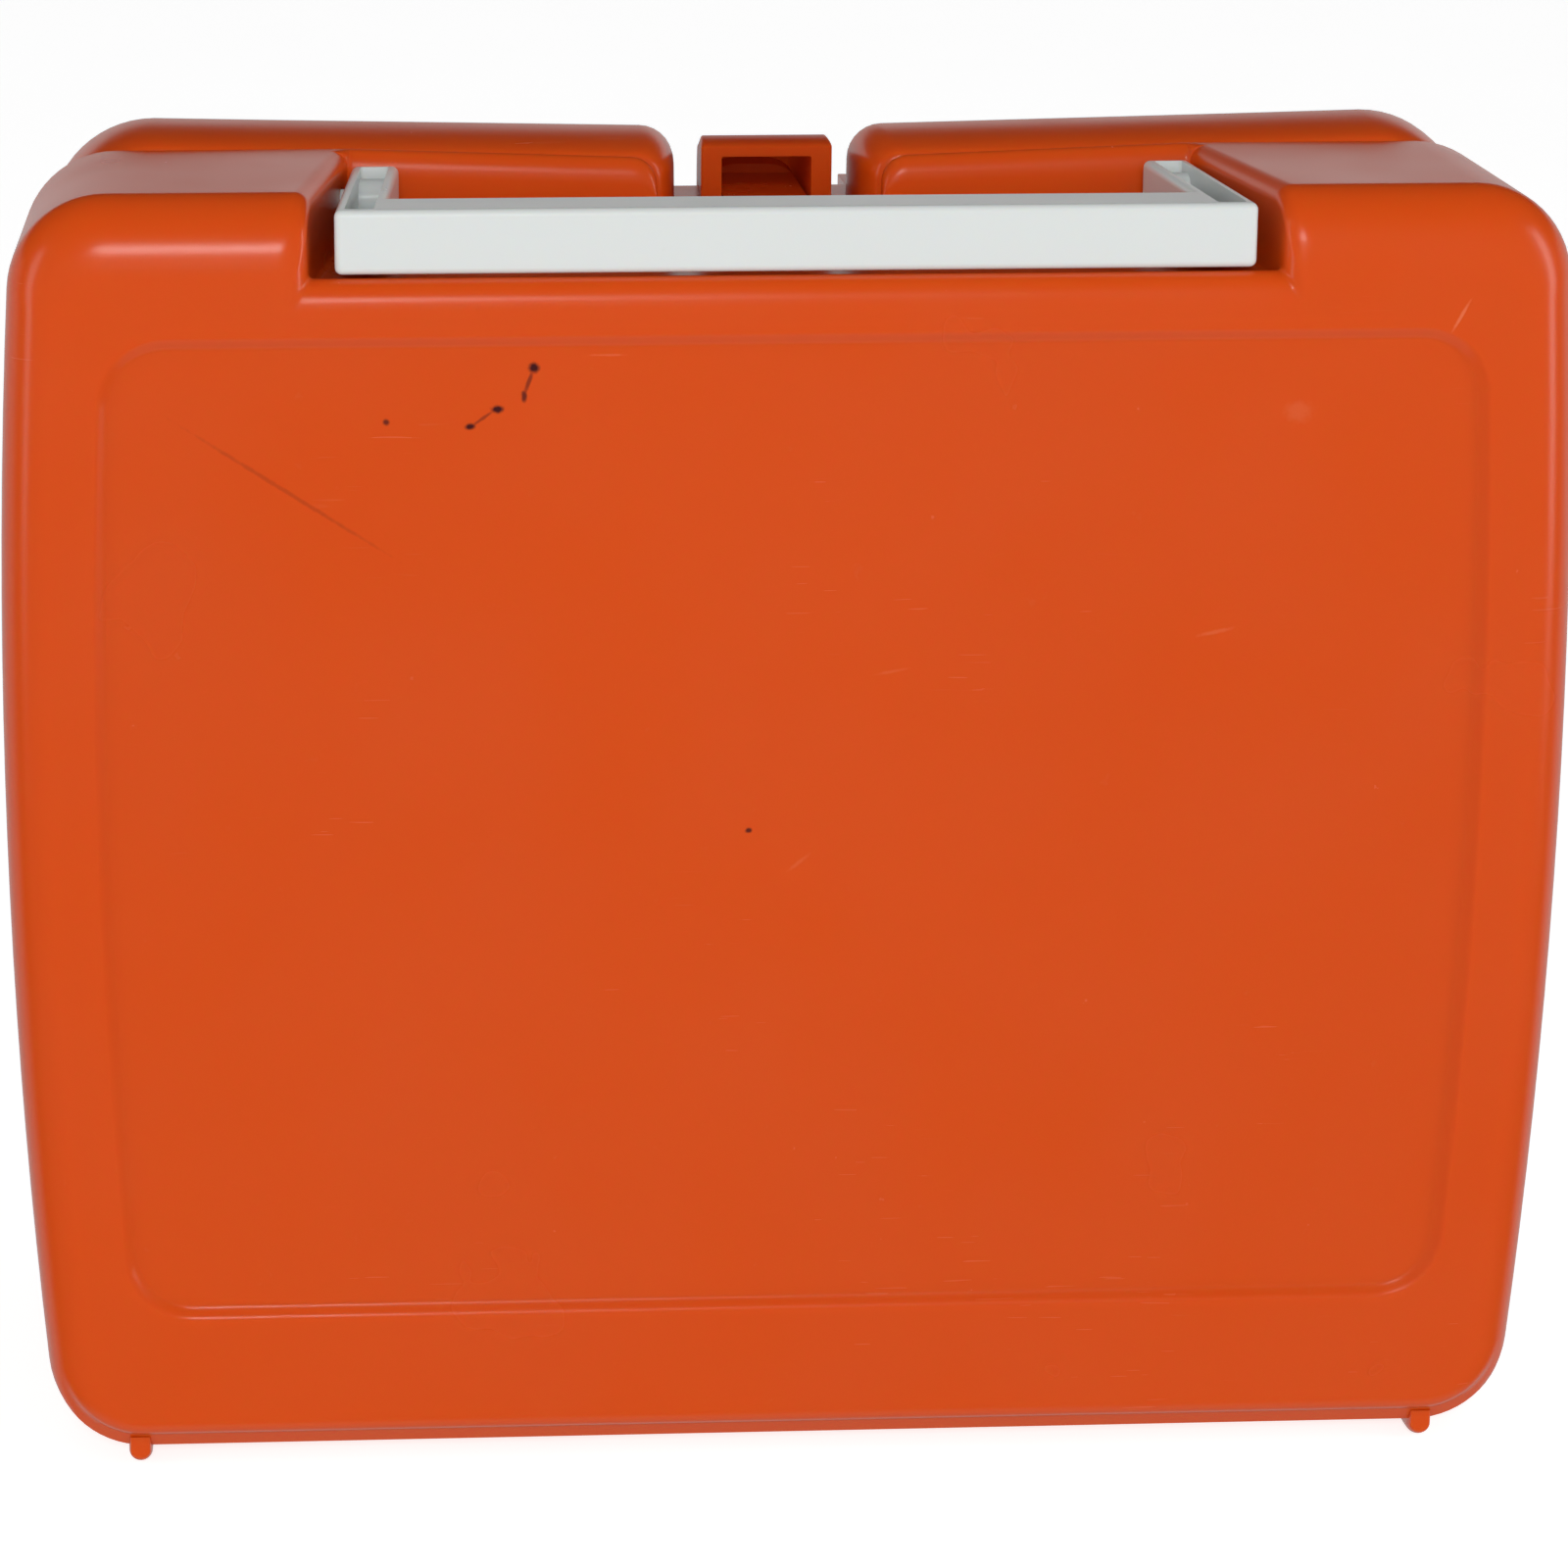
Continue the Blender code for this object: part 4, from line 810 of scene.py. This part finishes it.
def latch_roof(inset):
    """The latch roof as (y, z) points: a round rear end, a crest and a slope to the plate."""
    crest_y = LATCH_LOW.y + LATCH_CREST
    points = []
    for angle in quarter(QUARTER_STEPS):
        drop = LATCH_REAR_DROP * (1 - math.sin(angle)) + inset
        points.append((crest_y - LATCH_CREST * math.cos(angle), LATCH_HIGH.z - drop))
    end_y = LATCH_HIGH.y - LATCH_ROUND
    return points + [(end_y, LATCH_HIGH.z - LATCH_SLOPE * (end_y - crest_y) - inset)]


def build_latch(material):
    """The latch flap: a hood with round corners, open towards the catch tongue."""
    inner_y = FRONT_HIGH.y - WELL_DEPTH + 2 * GAP
    floor = NOTCH_FLOOR + 2 * GAP
    roof = latch_roof(0.0)
    end_y, end_z = roof[-1]
    profile = [(inner_y, floor), (LATCH_LOW.y, floor)] + roof
    profile += arc(end_y, end_z - LATCH_ROUND, LATCH_ROUND, LATCH_ROUND, math.pi / 2, 0.0, 12)[1:]
    profile += arc(LATCH_HINGE.y, LATCH_HINGE.z, LATCH_HEEL, LATCH_HEEL, 0.0, -math.pi, 18)
    half = LATCH_HIGH.x
    sides = []
    for side in (-1, 1):
        sides.append([Vector((side * (half - LATCH_TAPER * (y - LATCH_LOW.y)), y, z)) for y, z in profile])
    flap = loft("latch_flap_form", sides)
    rounded(flap, LATCH_EDGE, 4)
    under = latch_roof(LATCH_ROOF)
    plate_y = LATCH_HIGH.y - LATCH_PLATE
    open_y = LATCH_LOW.y - WALL
    low_z = LATCH_HINGE.z + LATCH_POCKET_RISE
    hollow = [(plate_y, low_z), (open_y, low_z), (open_y, under[0][1])] + under
    hollow.append((plate_y, under[-1][1] - (plate_y - end_y)))
    sides = [[Vector((x, y, z)) for y, z in hollow] for x in (-LATCH_POCKET_HALF, LATCH_POCKET_HALF)]
    cut(flap, rounded(loft("pocket", sides), LATCH_POCKET_EDGE, 4))
    reach = half + WALL
    cut(flap, along_x("bore", -reach, reach, LATCH_HINGE, PIN_RADIUS + GAP, 28))
    place(smooth(flap), "latch", "latch_flap", "latch_plastic", material)


def hole_place(column, row):
    """The (x, z) place of a peg hole."""
    offset = (ROWS - 1) / 2
    return GRID_X + (column - offset) * PITCH, GRID_Z + (row - offset) * PITCH


def all_holes():
    """Every peg hole: the field and the storage strip."""
    field = [(column, row) for column in range(ROWS) for row in range(ROWS)]
    store = [(column, row) for column in STORE_COLUMNS for row in STORE_ROWS]
    return [hole_place(column, row) for column, row in field + store]


def many_rods(name, spots, start_y, end_y, radius, sides):
    """One tool made of a rod along Y at each place."""
    bm = bmesh.new()
    turn = Matrix.Rotation(math.pi / 2, 4, "X")
    for x, z in spots:
        bmesh.ops.create_cone(
            bm, cap_ends=True, segments=sides, radius1=radius, radius2=radius,
            depth=abs(end_y - start_y), matrix=Matrix.Translation((x, (start_y + end_y) / 2, z)) @ turn,
        )
    return linked(name, bm)


def build_grid(name, which, low, high, face_up, body, material):
    """A peg plate that follows its shell, with countersunk round holes."""

    def plate_ring(y, inset):
        if which == "target":
            depth = FRONT_HIGH.y - y
            return ring(front_outline(depth, inset, front_dips(depth, NOTCH_FLOOR, inset)), y)
        depth = y - REAR_LOW.y
        return ring(rear_outline(depth, inset, rear_dips(depth, RECESS_FLOOR, inset)), y)

    face, back, inward = (high.y, low.y, -1) if face_up else (low.y, high.y, 1)
    rings = []
    for y, inset in ((face, PLATE_EDGE), (face + inward * PLATE_EDGE, 0.0), (back, 0.0)):
        rings.append(plate_ring(y, PLATE_INSET + inset))
    plate = loft(f"{name}_form", rings)
    spots = all_holes()
    cut(plate, many_rods("holes", spots, low.y - WALL, high.y + WALL, HOLE_RADIUS, 20))
    cut(plate, many_rods("sinks", spots, face - inward * GAP, face + inward * GAP, HOLE_SINK_RADIUS, 20))
    cut(plate, many_rods("bores", post_places(which), low.y - WALL, high.y + WALL, SCREW_BORE, 20))
    place(smooth(plate), body, name, "grid_plastic", material)


def turned(name, profile, steps, matrix):
    """A turned solid from (radius, height) points, top first."""
    bm = bmesh.new()
    angles = [2 * math.pi * step / steps for step in range(steps)]
    rings = []
    for radius, height in profile:
        around = angles if radius else angles[:1]
        rings.append([
            bm.verts.new((radius * math.cos(angle), radius * math.sin(angle), height)) for angle in around
        ])
    for upper, lower in zip(rings, rings[1:]):
        for step in range(steps):
            pair = (step, (step + 1) % steps)
            corners = [upper[place % len(upper)] for place in pair]
            corners += [lower[place % len(lower)] for place in reversed(pair)]
            bm.faces.new(list(dict.fromkeys(corners)))
    made = linked(name, bm)
    made.data.transform(matrix)
    return made


def dome(radius, top, rise):
    """(radius, height) points over a domed head, from its middle to its edge."""
    return [(radius * math.sin(angle), top - rise * (1 - math.cos(angle))) for angle in quarter(6)]


def facing(centre, direction):
    """A placement whose local +Z points along +Y or -Y."""
    return Matrix.Translation(centre) @ Matrix.Rotation(-direction * math.pi / 2, 4, "X")


def build_pegs(colour, count, material):
    """Pegs of one colour at their CAD places: domed heads over tapered shanks."""
    head = 0.0036
    radius = 0.0021
    edge = 0.0003
    shank = 0.0012
    length = 0.0042
    profile = dome(radius, head, 0.0010)
    profile += [(radius, edge), (radius - edge, 0.0), (shank, 0.0)]
    profile += [(shank * 0.92, 2 * edge - length), (0.0, -length)]
    for index in range(1, count + 1):
        node = f"{colour}_peg_{index}"
        low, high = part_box(node)
        peg = turned(f"{node}_form", profile, 24, facing(at_y(low, high, low.y + head), -1))
        place(smooth(peg), "front_case", node, f"{colour}_peg_plastic", material)


def build_screws(which, direction, body, material):
    """Pan head screws with a cross recess."""
    head = 0.0018
    radius = 0.0029
    length = 0.0090
    point = 0.0015
    arm = 0.0016
    thin = 0.00028
    profile = dome(radius, head, 0.6 * head)
    profile += [(radius, 0.0), (PIN_RADIUS, 0.0), (PIN_RADIUS, point - length), (0.0, -length)]
    for index in range(1, 5):
        node = f"{which}_screw_{index}"
        low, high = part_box(node)
        y = high.y - head if direction > 0 else low.y + head
        screw = turned(f"{node}_form", profile, 28, Matrix.Identity(4))
        for half_x, half_y in ((arm, thin), (thin, arm)):
            cut(screw, box("slot", (-half_x, -half_y, head * 0.45), (half_x, half_y, head * 2)))
        screw.data.transform(facing(at_y(low, high, y), direction))
        place(smooth(screw), body, node, "screw_steel", material)


def hull_plan(half_length, half_beam, steps=8):
    """A ship's plan as (along, across) points, with a curved bow and a round stern."""
    side = []
    for step in range(steps + 1):
        share = step / steps
        side.append((half_length - SHIP_BOW * share, half_beam * math.sin(math.pi / 2 * share) ** 0.8))
    for angle in quarter(steps)[1:]:
        along = -half_length + SHIP_STERN * (1 - math.sin(angle))
        side.append((along, half_beam * (0.45 + 0.55 * math.cos(angle))))
    return side + [(along, -across) for along, across in reversed(side[1:])]


def build_ship(node, holes, house, house_half, house_top, material):
    """A generic ship at its CAD place: curved hull, raised deck edge, deckhouse and peg holes."""
    low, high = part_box(node)
    upright = high.z - low.z > high.x - low.x
    middle = at_y(low, high, OCEAN_HIGH.y + GAP)

    def point(along, across, height):
        if upright:
            return middle + Vector((across, height, along))
        return middle + Vector((along, height, across))

    half_length = max(high.z - low.z, high.x - low.x) / 2
    deck = ((0.0, 0.84), (0.0003, 0.87), (0.0018, 0.95), (0.0050, 0.99), (0.0059, 1.0), (0.0062, 0.97))
    rings = []
    for height, share in deck:
        plan = hull_plan(half_length * (0.97 + 0.03 * share), SHIP_HALF_BEAM * share)
        rings.append([point(along, across, height) for along, across in plan])
    ship = loft(f"{node}_form", rings)
    storeys = (
        ((0.0050, 1.0), (house_top - 0.0012, 0.9)),
        ((house_top - 0.0016, 0.7), (house_top, 0.63)),
    )
    for storey in storeys:
        levels = []
        for height, share in storey:
            corners = [(a * house_half, b * 0.0021) for a, b in ((1, 1), (-1, 1), (-1, -1), (1, -1))]
            levels.append([point(house * PITCH + a * share, b * share, height) for a, b in corners])
        join(ship, rounded(loft("deckhouse", levels), 0.0003, 2))
    stations = [(index - (holes - 1) / 2) * PITCH for index in range(holes)]
    spots = [point(along, 0.0, 0.0) for along in stations]
    deepest = OCEAN_HIGH.y + 0.0022
    cut(ship, many_rods("peg_holes", [(p.x, p.z) for p in spots], deepest, high.y + WALL, HOLE_RADIUS, 20))
    for along in (stations[0], stations[-1]):
        base = point(along, 0.0, 0.0008)
        tip = point(along, 0.0, 0.0)
        tip.y = low.y
        join(ship, rod("plug", base, tip, 0.0012, 16))
    place(smooth(ship), "rear_case", node, "ship_plastic", material)


def build_fleet(material):
    """The five ships."""
    for node, row in SHIPS.items():
        build_ship(node, *row, material)


def build_pins(steel, white):
    """Hinge, latch and handle pins with chamfered ends."""
    rows = [
        ("hinge_pin_left", "rear_case", "pin_steel", steel),
        ("hinge_pin_right", "rear_case", "pin_steel", steel),
        ("latch_pin", "front_case", "pin_steel", steel),
        ("handle_pivot_left", "rear_case", "pivot_plastic", white),
        ("handle_pivot_right", "rear_case", "pivot_plastic", white),
    ]
    for node, body, slot, material in rows:
        low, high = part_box(node)
        radius = (high.z - low.z) / 2
        pin = along_x(f"{node}_form", low.x, high.x, (low + high) / 2, radius)
        place(smooth(rounded(pin, PIN_CHAMFER, 2)), body, node, slot, material)


class Nodes:
    """Short helpers around one material's node tree."""

    def __init__(self, name):
        self.material = bpy.data.materials.new(name)
        self.material.use_nodes = True
        self.tree = self.material.node_tree
        self.shader = self.tree.nodes["Principled BSDF"]
        self.position = self.tree.nodes.new("ShaderNodeTexCoord").outputs["Object"]

    @classmethod
    def of_tree(cls, tree):
        """The same helpers for a world's tree, where the position is the view direction."""
        nodes = cls.__new__(cls)
        nodes.tree = tree
        nodes.position = tree.nodes.new("ShaderNodeTexCoord").outputs["Generated"]
        return nodes

    def link(self, source, target):
        self.tree.links.new(source, target)

    def noise(self, scale, detail=3.0, stretch=(1.0, 1.0, 1.0), rough=0.5, turn=(0.0, 0.0, 0.0)):
        mapping = self.tree.nodes.new("ShaderNodeMapping")
        mapping.inputs["Scale"].default_value = stretch
        mapping.inputs["Rotation"].default_value = turn
        self.link(self.position, mapping.inputs["Vector"])
        texture = self.tree.nodes.new("ShaderNodeTexNoise")
        texture.inputs["Scale"].default_value = scale
        texture.inputs["Detail"].default_value = detail
        texture.inputs["Roughness"].default_value = rough
        self.link(mapping.outputs["Vector"], texture.inputs["Vector"])
        return texture.outputs["Fac"]

    def span(self, source, low, high, to_low=0.0, to_high=1.0):
        node = self.tree.nodes.new("ShaderNodeMapRange")
        for name, value in (("From Min", low), ("From Max", high), ("To Min", to_low), ("To Max", to_high)):
            node.inputs[name].default_value = value
        self.link(source, node.inputs["Value"])
        return node.outputs["Result"]

    def math(self, operation, first, second):
        node = self.tree.nodes.new("ShaderNodeMath")
        node.operation = operation
        for index, value in enumerate((first, second)):
            if isinstance(value, float):
                node.inputs[index].default_value = value
            else:
                self.link(value, node.inputs[index])
        return node.outputs["Value"]

    def times(self, first, second):
        return self.math("MULTIPLY", first, second)

    def feed(self, source, name):
        self.link(source, self.shader.inputs[name])

    def blend(self, factor, first, second):
        node = self.tree.nodes.new("ShaderNodeMix")
        node.data_type = "RGBA"
        self.link(factor, node.inputs["Factor"])
        for name, value in (("A", first), ("B", second)):
            socket = [item for item in node.inputs if item.name == name and item.type == "RGBA"][0]
            if isinstance(value, tuple):
                socket.default_value = (*value, 1.0)
            else:
                self.link(value, socket)
        return [item for item in node.outputs if item.type == "RGBA"][0]

    def spot(self, centre, reach, turn, wobble):
        """A soft-edged oval patch in the XZ plane, its outline disturbed by noise."""
        local = self.tree.nodes.new("ShaderNodeMapping")
        local.vector_type = "TEXTURE"
        local.inputs["Location"].default_value = centre
        local.inputs["Rotation"].default_value = (0.0, turn, 0.0)
        local.inputs["Scale"].default_value = reach
        self.link(self.position, local.inputs["Vector"])
        length = self.tree.nodes.new("ShaderNodeVectorMath")
        length.operation = "LENGTH"
        self.link(local.outputs["Vector"], length.inputs[0])
        disturbed = self.math("ADD", length.outputs["Value"], wobble)
        return self.span(disturbed, 1.1, 0.5)

    def bump(self, height, strength, distance):
        node = self.tree.nodes.new("ShaderNodeBump")
        node.inputs["Strength"].default_value = strength
        node.inputs["Distance"].default_value = distance
        self.link(height, node.inputs["Height"])
        self.feed(node.outputs["Normal"], "Normal")

    def set(self, **values):
        for name, value in values.items():
            self.shader.inputs[name.replace("_", " ")].default_value = value


def moulded_plastic(name, wear=0.5, subsurface=0.0):
    """Moulded plastic: faint flow mottling, small scuffs, fine scratches, slight ripple."""
    colour, deep, pale, roughness = PLASTICS[name]
    nodes = Nodes(name)
    mottle = nodes.span(nodes.noise(9.0, 3.0), 0.30, 0.70)
    base = nodes.blend(nodes.times(mottle, 0.35), colour, deep)
    specks = nodes.span(nodes.noise(260.0, 3.0, rough=0.6), 0.70, 0.78)
    lines = nodes.noise(90.0, 1.0, stretch=(1.0, 1.0, 22.0), turn=(0.0, 0.6, 0.0))
    broken = nodes.span(nodes.noise(24.0, 2.0), 0.56, 0.66)
    hairs = nodes.times(nodes.span(lines, 0.73, 0.76), broken)
    specks = nodes.times(specks, 0.10 * wear)
    worn = nodes.math("MAXIMUM", specks, nodes.times(hairs, 0.22 * wear))
    base = nodes.blend(worn, base, pale)
    nodes.base = base
    nodes.feed(base, "Base Color")
    uneven = nodes.span(nodes.noise(30.0, 3.0), 0.3, 0.7, roughness - 0.03, roughness + 0.04)
    nodes.feed(nodes.math("ADD", uneven, nodes.times(worn, 0.5)), "Roughness")
    nodes.bump(nodes.noise(500.0, 2.0), 0.12, 0.00003)
    nodes.set(IOR=1.50, Subsurface_Weight=subsurface, Subsurface_Scale=0.006)
    nodes.shader.inputs["Subsurface Radius"].default_value = (1.0, 0.30, 0.08)
    return nodes


# Marks on the back panel: x, z, reach along and across in metres, turn in degrees, strength
INK_MARKS = (
    (-0.0396, 0.1765, 0.0010, 0.0010, 0, 0.95),
    (-0.0411, 0.1722, 0.0005, 0.0011, 0, 0.80),
    (-0.0451, 0.1703, 0.0012, 0.0007, 0, 0.95),
    (-0.0492, 0.1677, 0.0009, 0.0006, 0, 0.95),
    (-0.0618, 0.1685, 0.0006, 0.0006, 0, 0.80),
    (-0.0068, 0.1040, 0.0006, 0.0005, 0, 0.85),
    (-0.0404, 0.1744, 0.0027, 0.0004, -70, 0.60),
    (-0.0475, 0.1688, 0.0026, 0.0003, -35, 0.50),
    (-0.0767, 0.1579, 0.0200, 0.0004, 33, 0.22),
)
PALE_MARKS = (
    (0.0760, 0.1687, 0.0026, 0.0020, 0, 0.16),
    (0.0645, 0.1345, 0.0036, 0.0004, -12, 0.22),
    (-0.0286, 0.1784, 0.0034, 0.0002, 0, 0.25),
    (0.0010, 0.0987, 0.0024, 0.0004, -40, 0.18),
    (0.0149, 0.1289, 0.0030, 0.0003, -10, 0.18),
    (0.1000, 0.1834, 0.0030, 0.0003, -62, 0.50),
)


def marked(nodes, base, marks, tint):
    """The base colour with soft patches of a tint at the marks."""
    wobble = nodes.span(nodes.noise(900.0, 3.0), 0.0, 1.0, -0.45, 0.45)
    total = None
    for x, z, along, across, turn, strength in marks:
        patch = nodes.spot((x, REAR_LOW.y, z), (along, 0.004, across), math.radians(turn), wobble)
        patch = nodes.times(patch, strength)
        total = patch if total is None else nodes.math("MAXIMUM", total, patch)
    return nodes.blend(total, base, tint)


def case_plastic():
    """The case's glossy orange, with the ink marks and rubs that the back panel carries."""
    nodes = moulded_plastic("case_orange", subsurface=0.30)
    rubbed = marked(nodes, nodes.base, PALE_MARKS, (0.80, 0.22, 0.10))
    inked = marked(nodes, rubbed, INK_MARKS, (0.030, 0.006, 0.010))
    nodes.feed(inked, "Base Color")
    return nodes.material


def latch_plastic():
    """The latch's thinner orange plastic, which lets some light through."""
    nodes = moulded_plastic("latch_orange", subsurface=0.30)
    through = nodes.tree.nodes.new("ShaderNodeBsdfTranslucent")
    glow = nodes.blend(nodes.noise(60.0, 2.0), (0.95, 0.34, 0.10), (0.90, 0.28, 0.07))
    nodes.link(glow, through.inputs["Color"])
    mixed = nodes.tree.nodes.new("ShaderNodeMixShader")
    mixed.inputs["Fac"].default_value = 0.40
    nodes.link(nodes.shader.outputs["BSDF"], mixed.inputs[1])
    nodes.link(through.outputs["BSDF"], mixed.inputs[2])
    nodes.link(mixed.outputs["Shader"], nodes.tree.nodes["Material Output"].inputs["Surface"])
    return nodes.material


def steel():
    """Drawn wire and plated screws."""
    nodes = Nodes("plated_steel")
    nodes.set(Metallic=1.0)
    grain = nodes.noise(400.0, 3.0, stretch=(0.05, 1.0, 1.0))
    nodes.feed(nodes.blend(grain, (0.48, 0.49, 0.50), (0.64, 0.65, 0.66)), "Base Color")
    nodes.feed(nodes.span(grain, 0.3, 0.7, 0.22, 0.40), "Roughness")
    nodes.bump(grain, 0.2, 0.00003)
    return nodes.material


def build_case():
    """Every piece of the case with its material."""
    orange = case_plastic()
    white = moulded_plastic("handle_white", wear=0.7, subsurface=0.08).material
    metal = steel()
    build_rear_shell(orange)
    build_front_shell(orange)
    build_handle(white)
    build_latch(latch_plastic())
    blue = moulded_plastic("grid_blue").material
    build_grid("ocean_grid", "ocean", OCEAN_LOW, OCEAN_HIGH, True, "rear_case", blue)
    build_grid("target_grid", "target", TARGET_LOW, TARGET_HIGH, False, "front_case", blue)
    build_fleet(moulded_plastic("ship_grey").material)
    build_pegs("white", 8, moulded_plastic("peg_white").material)
    build_pegs("red", 6, moulded_plastic("peg_red").material)
    build_screws("ocean", 1, "rear_case", metal)
    build_screws("target", -1, "front_case", metal)
    build_pins(metal, white)


def area_light(name, location, size, energy, mirrored):
    """A soft rectangular light aimed at the case, which reflections show only where mirrored."""
    data = bpy.data.lights.new(name, "AREA")
    data.shape = "RECTANGLE"
    data.size, data.size_y = size
    data.energy = energy
    light = bpy.data.objects.new(name, data)
    light.visible_glossy = mirrored
    light.location = location
    light.rotation_euler = (Vector(LIGHT_TARGET) - Vector(location)).to_track_quat("-Z", "Y").to_euler()
    ROOT.objects.link(light)


def build_world():
    """White to the camera, a low backdrop in reflections, and mainly front light otherwise."""
    world = bpy.data.worlds.new("studio")
    bpy.context.scene.world = world
    world.use_nodes = True
    nodes = Nodes.of_tree(world.node_tree)
    direction = world.node_tree.nodes.new("ShaderNodeSeparateXYZ")
    nodes.link(nodes.position, direction.inputs["Vector"])
    ahead = direction.outputs["Y"]
    height = direction.outputs["Z"]
    low = nodes.span(height, BACKDROP_EDGE + 0.03, BACKDROP_EDGE)
    backdrop = nodes.times(nodes.span(ahead, 0.0, 0.3), low)
    below = nodes.times(nodes.span(height, -0.70, -0.85), NADIR_LEVEL)
    mirrored = nodes.math("MAXIMUM", nodes.times(backdrop, BACKDROP_LEVEL), below)
    mirrored = nodes.math("ADD", mirrored, MIRROR_DIM)
    front = nodes.times(nodes.span(ahead, 0.1, -0.3), nodes.span(height, 0.8, 0.3))
    soft = nodes.math("ADD", nodes.times(front, FRONT_LEVEL), SOFT_LEVEL)
    path = world.node_tree.nodes.new("ShaderNodeLightPath")
    glossy = path.outputs["Is Glossy Ray"]
    matt = nodes.times(soft, nodes.math("SUBTRACT", 1.0, glossy))
    lit = nodes.math("ADD", matt, nodes.times(mirrored, glossy))
    background = world.node_tree.nodes["Background"]
    background.inputs["Color"].default_value = (1.0, 1.0, 1.0, 1.0)
    nodes.link(nodes.math("MAXIMUM", lit, path.outputs["Is Camera Ray"]), background.inputs["Strength"])


def build_stage():
    """Pale floor, soft lights and the camera at the viewing angle."""
    floor = box("floor", (-4.0, -4.0, -0.010), (4.0, 4.0, 0.0))
    nodes = Nodes("pale_floor")
    tint = nodes.blend(nodes.noise(6.0, 3.0), (0.56, 0.56, 0.56), (0.60, 0.60, 0.60))
    nodes.feed(tint, "Base Color")
    nodes.set(Roughness=0.75, Emission_Strength=FLOOR_GLOW)
    nodes.shader.inputs["Emission Color"].default_value = (1.0, 1.0, 1.0, 1.0)
    floor.data.materials.append(nodes.material)
    floor.visible_glossy = False
    floor.visible_diffuse = False

    build_world()
    for name, row in LIGHTS.items():
        area_light(name, *row)
    bpy.context.scene.view_settings.view_transform = "Standard"

    camera_data = bpy.data.cameras.new("camera")
    camera_data.sensor_width = SENSOR_WIDTH
    camera_data.lens = LENS
    camera_data.shift_x, camera_data.shift_y = SHIFT
    camera = bpy.data.objects.new("camera", camera_data)
    camera.location = CAMERA_PLACE
    camera.rotation_euler = (math.radians(90 - CAMERA_DOWN), 0.0, math.radians(CAMERA_TURN))
    ROOT.objects.link(camera)
    bpy.context.scene.camera = camera


build_case()
build_stage()
